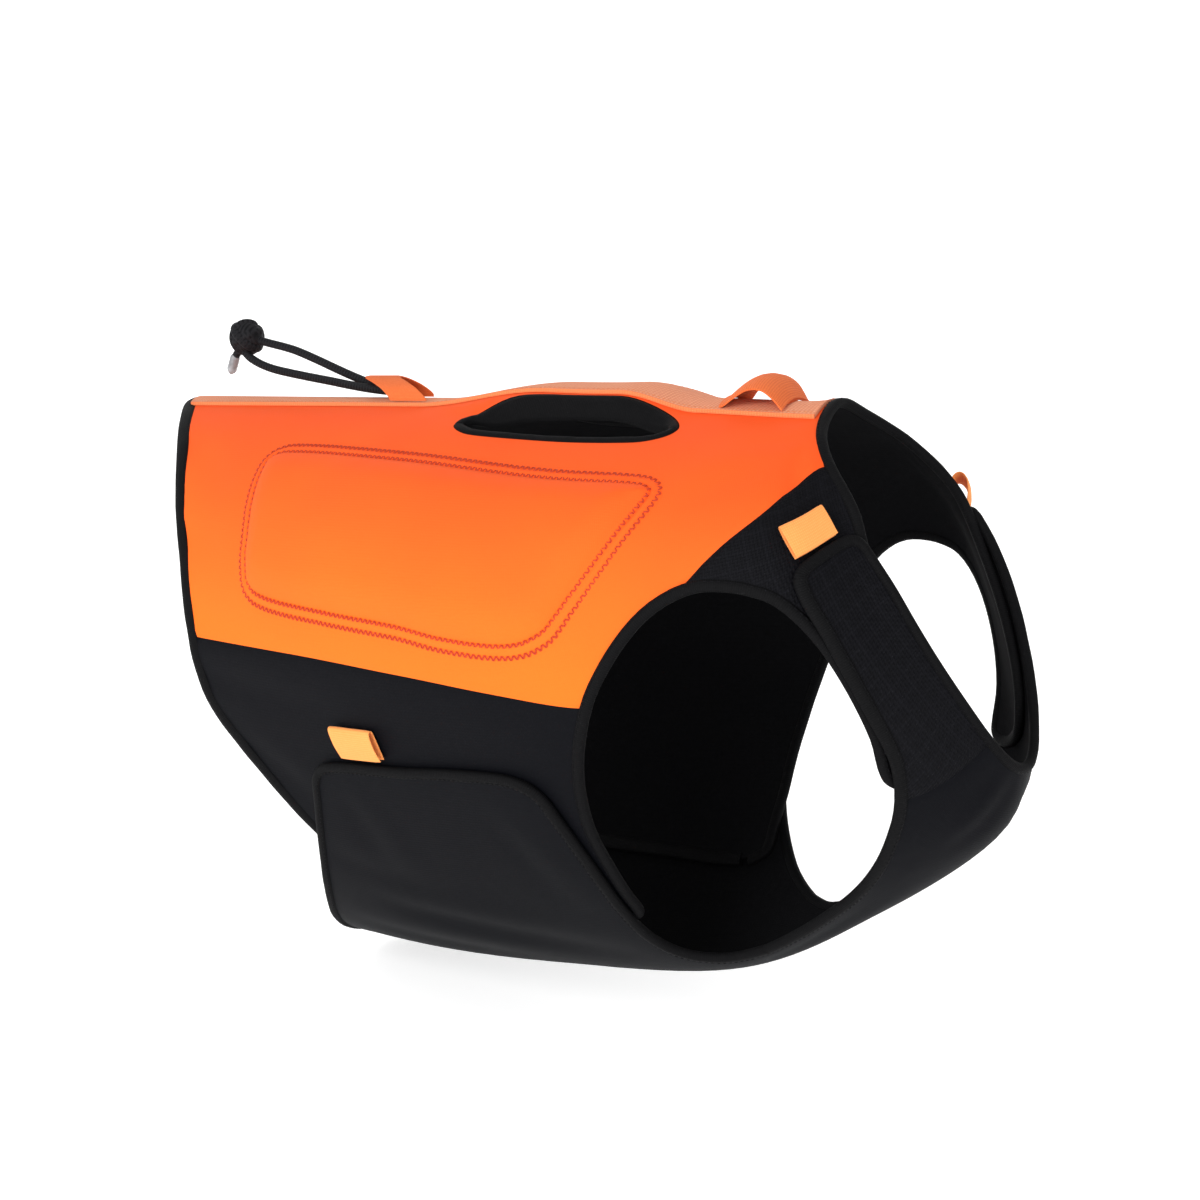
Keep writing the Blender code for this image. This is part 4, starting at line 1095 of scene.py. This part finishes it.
def binding(name, curve, base, toward, part=None, closed=False, mirrored=False, stretch=1.0, curl=0.0):
    """Tape folded over the cloth's edge. Its crown rises and sinks a little along the way. part is the
    first and last point that it covers, and curl how far the tape's free edge hangs down."""
    lines = {b: moved(curve, toward * b * stretch * np.ones(len(curve)), closed) for b, _ in BIND_SECTION}
    count = len(curve)
    wander = sum(np.sin(np.arange(count) * w + RNG.random() * 6) for w in (0.35, 0.83, 1.7)) * 0.07
    rings = []
    for b, h in BIND_SECTION:
        rise = base + h + (wander if h > BIND_CROWN else 0 * wander)
        ring = place(lines[b][:, 0], lines[b][:, 1], rise)
        ring[:, 2] -= curl * (b / BIND_CLOTH) ** 1.5
        rings.append(ring)
    sections = np.stack(rings, 1)
    if part:
        sections = sections[part[0]:part[1] + 1]
    return tube(name, sections, LOOKS["binding"], closed=closed, mirrored=mirrored, sharp=60)


def both_sides(left, right, at):
    """The left half of a curve and the right one, turned over, joined where they meet the middle plane."""
    over = right[::-1] * (1, -1) + (0, 2 * at)
    return np.vstack([over[:-1], left]) if abs(left[0, 1] - at) < 1e-6 else np.vstack([left, over[1:]])


stitches = {}


def bind(name, curve, base, toward, part, mirrored=False, stretch=1.0):
    """A binding and the line of stitches along its inner edge."""
    made[name] = binding("tape_" + name, curve, base, toward, part, mirrored=mirrored, stretch=stretch)
    line = moved(curve, toward * SEW_IN)[part[0]:part[1] + 1]
    stitches[name] = running_stitch("stitch_" + name, line, base + SEW_HEIGHT, LOOKS["black_thread"],
                                    mirrored=mirrored)


def bind_across(name, left, right, at, base, toward, stretch=1.0):
    """One that crosses the middle plane, which lies at this angle."""
    curve = both_sides(left, right, at)
    bind(name, curve, base, toward, (1, len(curve) - 2), stretch=stretch)


arm_start = len(hem) + len(low) - 2
arm_end = arm_start + len(arm) - 1
hem_half = saddle_edge[:arm_start + 1]
neck_half = saddle_edge[arm_end:]
belly = [half["edge"][:half["flap"] + 2] for half in chest.values()]
collar = [half["edge"][half["flap"] + half["leg"] - 1:] for half in chest.values()]
CHEST_SIDE = chest["right"]["toward"]
bind_across("hem_binding", hem_half, hem_half, 0, 0.0, SADDLE_SIDE, HEM_STRETCH)
bind_across("neck_binding", neck_half, neck_half, 0, 0.0, SADDLE_SIDE)
bind_across("belly_binding", *belly, 180, CHEST_IN, CHEST_SIDE)
bind_across("collar_binding", *collar, 180, CHEST_IN, CHEST_SIDE)
under_handle = smooth(HANDLE_BELOW - slit[:, 1], 0, 6)
for side, mirrored in SIDES:
    half = chest[side]
    leg = (half["flap"], half["flap"] + half["leg"])
    bind("armhole_binding_" + side, saddle_edge, 0.0, SADDLE_SIDE, (arm_start, arm_end + 1), mirrored)
    bind("leg_binding_" + side, half["edge"], CHEST_IN, CHEST_SIDE, leg, mirrored)
    name = "slit_binding_" + side
    made[name] = binding("tape_" + name, slit, SLIT_BASE, into_ring(slit), closed=True, mirrored=mirrored,
                         stretch=0.95 + HANDLE_STRETCH * under_handle, curl=HANDLE_CURL * under_handle)

# ---- zigzag stitches of the pads ----

ON_PAD = 0.12          # the thread's height over the pad's top


def on_pad(places):
    return pad_top(places) + ON_PAD


for side, mirrored in SIDES:
    for number, distance in enumerate(PAD_LINES):
        line = shut(moved(pad, PAD_WAY * distance, closed=True))
        zigzag_stitch("stitch_pad_%s_%d" % (side, number), line, on_pad, LOOKS["orange_thread_and_shade"], mirrored)

# ---- spine webbing ----

WEBBING_S = np.r_[0.9, np.arange(1.05, 7.6, 0.08), 7.62]
# Places across the webbing from its middle to its edge, and the height of its top at each
HALF_ACROSS = np.array([0, 5, 10, 15, 19.4, 21.2, WEBBING_HALF])
HALF_TOP = np.array([4.75, 4.75, 4.75, 4.75, 4.9, 4.9, 4.2])
ACROSS = np.r_[-HALF_ACROSS[:0:-1], HALF_ACROSS]
TOP = np.r_[HALF_TOP[:0:-1], HALF_TOP]
WEBBING_UNDER = np.full(len(ACROSS), 3.3)
# The bright border: places across it, the heights of its top and, the other way, of its underside
BORDER_ACROSS = np.array([20.9, 21.5, 22.1, 22.4])
BORDER_TOP = (4.9, 5.25, 5.0, 4.3)
BORDER_UNDER = (3.2, 3.4, 4.3, 4.6)
WEBBING_SEWN = 19.0    # its stitches, from the middle


def webbing_rows(ys, height):
    """Points across the spine at every station, at a height for each y. The first station is at the hem."""
    hem_cloth = saddle_cloth[:len(hem) - 1]
    rows = []
    for y, h in zip(ys, height):
        stations = WEBBING_S.copy()
        y = y + 1e-3    # off the middle plane, where the angle has no sign
        rear_angle = abs(angle_at(stations[:1], y)[0])
        stations[0] = np.interp(rear_angle, hem_cloth[:, 1], hem_cloth[:, 0]) + 0.02
        rows.append(place(stations, angle_at(stations, y), h))
    return np.stack(rows, 1)


def webbing_body(ys, top, under):
    """The sections of a band along the spine, with its underside's heights from its far edge back."""
    return np.concatenate([webbing_rows(ys, top), webbing_rows(ys[::-1], under)], 1)


made["spine_webbing"] = tube("tape_spine_webbing", webbing_body(ACROSS, TOP, WEBBING_UNDER), LOOKS["webbing"],
                             around_uv=np.r_[ACROSS, ACROSS[::-1]] + WEBBING_HALF, sharp=60)
for side, mirrored in SIDES:
    sign = -1 if mirrored else 1
    rows = webbing_body(sign * BORDER_ACROSS, BORDER_TOP, BORDER_UNDER)
    made["border_" + side] = tube("tape_webbing_border_" + side, rows, LOOKS["border"], sharp=60)
    line = np.stack([WEBBING_S[2:-1], np.abs(angle_at(WEBBING_S[2:-1], sign * WEBBING_SEWN))], -1)
    stitches["webbing_" + side] = running_stitch("stitch_webbing_" + side, line, WEBBING_OUT,
                                                 LOOKS["pale_thread"], 0.4, mirrored)

# ---- loops ----

# station, height of the tape's middle over the form
LEASH_LOOP = [(6.17, 5.7), (6.215, 6.6), (6.27, 9.4), (6.34, 12.8), (6.42, 15.4), (6.50, 16.5), (6.59, 16.0),
              (6.68, 13.6), (6.75, 10.4), (6.80, 7.6), (6.84, 5.7)]
LEASH_HALF = 20.0      # half its width
LEASH_THICK = 1.6
LEASH_LEAN = 0.18      # stations by which its left edge lies behind its right edge
LEASH_SAG = (-1.2, 0.0, 2.7)    # its top's height across, from right to left, over the withers' curve
loop_rows = []
for station, height in fine_path(LEASH_LOOP, 0.6):
    ys = np.linspace(-LEASH_HALF, LEASH_HALF, 15)
    stations = station - LEASH_LEAN * (ys + LEASH_HALF) / (2 * LEASH_HALF)
    base = place(stations, angle_at(stations, ys), WEBBING_OUT)
    sag = np.interp(ys, (-LEASH_HALF, 0, LEASH_HALF), LEASH_SAG)
    base[:, 2] += height - WEBBING_OUT + sag * smooth(height, 6, 14)
    loop_rows.append(base)
made["leash_loop"] = strip("tape_leash_loop", loop_rows, LEASH_THICK, LOOKS["loop"])

# x and y of the tape's middle and its height over the webbing, from the right foot to the left one. The
# cord's pull has drawn the left one to the rear.
REAR_LOOP = [(-45, -19.2, 0.9), (-47, -19.0, 3.2), (-55, -16.4, 7.2), (-67, -11.0, 10.2), (-77, -5.2, 11.6),
             (-81, 0.0, 12.0), (-83.5, 5.2, 11.6), (-83, 11.0, 10.2), (-79, 16.4, 7.2), (-74, 19.0, 3.2),
             (-73, 19.2, 0.9)]
REAR_WIDE = 27.0
REAR_THICK = 1.4
rear_rows = []
for x, y, z in fine_path(REAR_LOOP, 1.8):
    xs = x + np.linspace(-REAR_WIDE / 2, REAR_WIDE / 2, 11)
    spine_s = np.interp(xs, skin(FLAT_S, 0.0)[:, 0], FLAT_S)
    base = place(spine_s, angle_at(spine_s, y + 1e-3), WEBBING_OUT)
    rear_rows.append(np.stack([xs, np.full(len(xs), y), base[:, 2] + z], -1))
made["rear_loop"] = strip("tape_rear_loop", rear_rows, REAR_THICK, LOOKS["loop"])

# ---- pull tabs ----

# How far out toward the fold, and how high
TAB_FOLD = [(0.0, 4.3), (0.45, 4.3), (0.82, 4.5), (0.97, 5.0), (1.0, 6.0), (0.97, 7.0), (0.84, 7.7),
            (0.45, 7.9), (0.0, 6.9)]
OPEN_FOLD = [(0.0, 4.3), (0.35, 4.6), (0.72, 5.8), (0.95, 8.0), (1.02, 11.0), (0.94, 13.6), (0.70, 14.2),
             (0.35, 11.5), (0.0, 7.2)]
TAB_THICK = 0.9
# Two corners of a tab's ends and two of its fold, as (station, degrees)
SHOULDER_TAB = ([(7.30, 68.2), (7.96, 68.6)], [(7.21, 58.6), (7.86, 58.2)])
BELLY_TAB = ([(3.34, 97.7), (3.67, 97.5)], [(3.31, 91.6), (3.66, 91.6)])


def tab(name, ends, fold, shape, mirrored):
    """A folded tape between its ends' corners and its fold's."""
    ends, fold = np.array(ends, float), np.array(fold, float)
    rows = []
    for out, height in fine_path(shape, 0.22):
        line = ends + (fold - ends) * out
        cross = line[0] + (line[1] - line[0]) * np.linspace(0, 1, 9)[:, None]
        rows.append(place(cross[:, 0], cross[:, 1], height))
    return strip(name, rows, TAB_THICK, LOOKS["tape"], mirrored)


for (side, mirrored), shape in zip(SIDES, (OPEN_FOLD, TAB_FOLD)):
    made["shoulder_tab_" + side] = tab("tape_shoulder_tab_" + side, *SHOULDER_TAB, shape, mirrored)
    made["belly_tab_" + side] = tab("tape_belly_tab_" + side, *BELLY_TAB, TAB_FOLD, mirrored)

# ---- what each piece stands for ----

STANDS_FOR = {"cord": ("cord_upper", "cord_lower"), "knot_0": ("cord_knot",), "tip": ("cord_tip",)}


for name, piece in made.items():
    nodes = (name,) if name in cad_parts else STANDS_FOR.get(name, ())
    if nodes:
        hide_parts(*nodes)

# Width and length of the flat cut, its area, how it is held, and what it lies on
SHEETS = {
    "back_panel": (0.21, 0.47, 0.0700, "draped", ()),
    "side_panel": (0.17, 0.34, 0.0310, "draped", ()),
    "shoulder_panel": (0.12, 0.16, 0.0070, "draped", ()),
    "chest_panel": (0.42, 0.50, 0.0920, "draped", ()),
    "strap": (0.05, 0.16, 0.0045, "laid", ("shoulder_panel",)),
    "spine_webbing": (0.044, 0.47, None, "laid", ("back_panel_left", "back_panel_right")),
    "leash_loop": (0.038, 0.065, None, "folded", ("spine_webbing",)),
    "rear_loop": (0.027, 0.062, None, "folded", ("spine_webbing",)),
    "shoulder_tab": (0.025, 0.042, None, "folded", ("shoulder_panel",)),
    "belly_tab": (0.026, 0.042, None, "folded", ("side_panel",)),
}
# The bindings that go with a sheet. Each stands here once.
BOUND_BY = {
    "back_panel_left": ["hem_binding", "slit_binding_left"], "back_panel_right": ["slit_binding_right"],
    "shoulder_panel_left": ["armhole_binding_left", "neck_binding"],
    "shoulder_panel_right": ["armhole_binding_right"],
    "chest_panel": ["belly_binding", "collar_binding", "leg_binding_left", "leg_binding_right"],
}
for name, piece in made.items():
    kind = next((k for k in SHEETS if name in (k, k + "_left", k + "_right")), None)
    if kind is None:
        continue
    side = name[len(kind):]
    edges = BOUND_BY.get(name, [])
    carried = [made[n] for n in edges] + [stitches[n] for n in edges if n in stitches]
    if name == "spine_webbing":
        carried = [made["border_left"], made["border_right"]]
        carried += [stitches["webbing_left"], stitches["webbing_right"]]

# ---- studio ----

# The backdrop, in metres: a floor that bends up into a wall, in line with the view
FLOOR_AT = CAD_BOUNDS[0][2] - 0.012
FLOOR_NEAR = -4.0
BEND_AT = 2.6
BEND_RADIUS = 0.9
WALL_TOP = 5.0
BACKDROP_HALF = 6.0
BACKDROP = (0.93, 0.93, 0.93)
AIM = (0.02, 0.0, -0.13)
# Place, width and power of each light
LIGHTS = {
    "key": ((-0.2, -2.0, 0.9), 1.3, 22),
    "front": ((1.9, -1.2, 0.3), 1.3, 12),
    "top": ((0.2, 0.5, 2.0), 1.6, 3),
    "low": ((0.1, -1.7, -0.2), 1.2, 12),
}


def backdrop_look():
    look = Look("backdrop", 0.9, 0.1)
    look.shader.inputs["Emission Color"].default_value = (1, 1, 1, 1)
    look.shader.inputs["Emission Strength"].default_value = 0.5
    return look.colour(look.mix(look.noise(400), BACKDROP, tuple(c * 0.995 for c in BACKDROP))).made


def backdrop():
    bend = [(np.cos(t), np.sin(t)) for t in np.linspace(-np.pi / 2, 0, 12)]
    profile = [(FLOOR_NEAR, FLOOR_AT)]
    profile += [(BEND_AT + BEND_RADIUS * c, FLOOR_AT + BEND_RADIUS + BEND_RADIUS * s) for c, s in bend]
    profile += [(BEND_AT + BEND_RADIUS, WALL_TOP)]
    away = (-np.sin(radians(VIEW_TURN)), np.cos(radians(VIEW_TURN)))
    right = (away[1], -away[0])
    corners = [(away[0] * d + right[0] * w, away[1] * d + right[1] * w, z)
               for w in (-BACKDROP_HALF, BACKDROP_HALF) for d, z in profile]
    n = len(profile)
    mesh = bpy.data.meshes.new("floor")
    mesh.from_pydata(corners, [], [(i, i + 1, n + i + 1, n + i) for i in range(n - 1)])
    mesh.materials.append(backdrop_look())
    mesh.shade_smooth()
    sheet = bpy.data.objects.new("backdrop", mesh)
    scene.collection.objects.link(sheet)


def softbox(name, at, size, power):
    """A square light that faces the vest."""
    data = bpy.data.lights.new(name, "AREA")
    data.shape = "SQUARE"
    data.size = size
    data.energy = power
    light = bpy.data.objects.new(name, data)
    light.location = at
    light.rotation_euler = Vector(np.array(AIM) - np.array(at)).to_track_quat("-Z", "Y").to_euler()
    scene.collection.objects.link(light)


backdrop()
for name, (at, size, power) in LIGHTS.items():
    softbox(name, at, size, power)

world = bpy.data.worlds.new("studio")
world.use_nodes = True
world.node_tree.nodes["Background"].inputs["Color"].default_value = (1, 1, 1, 1)
world.node_tree.nodes["Background"].inputs["Strength"].default_value = 0.6
scene.world = world
scene.view_settings.view_transform = "Standard"
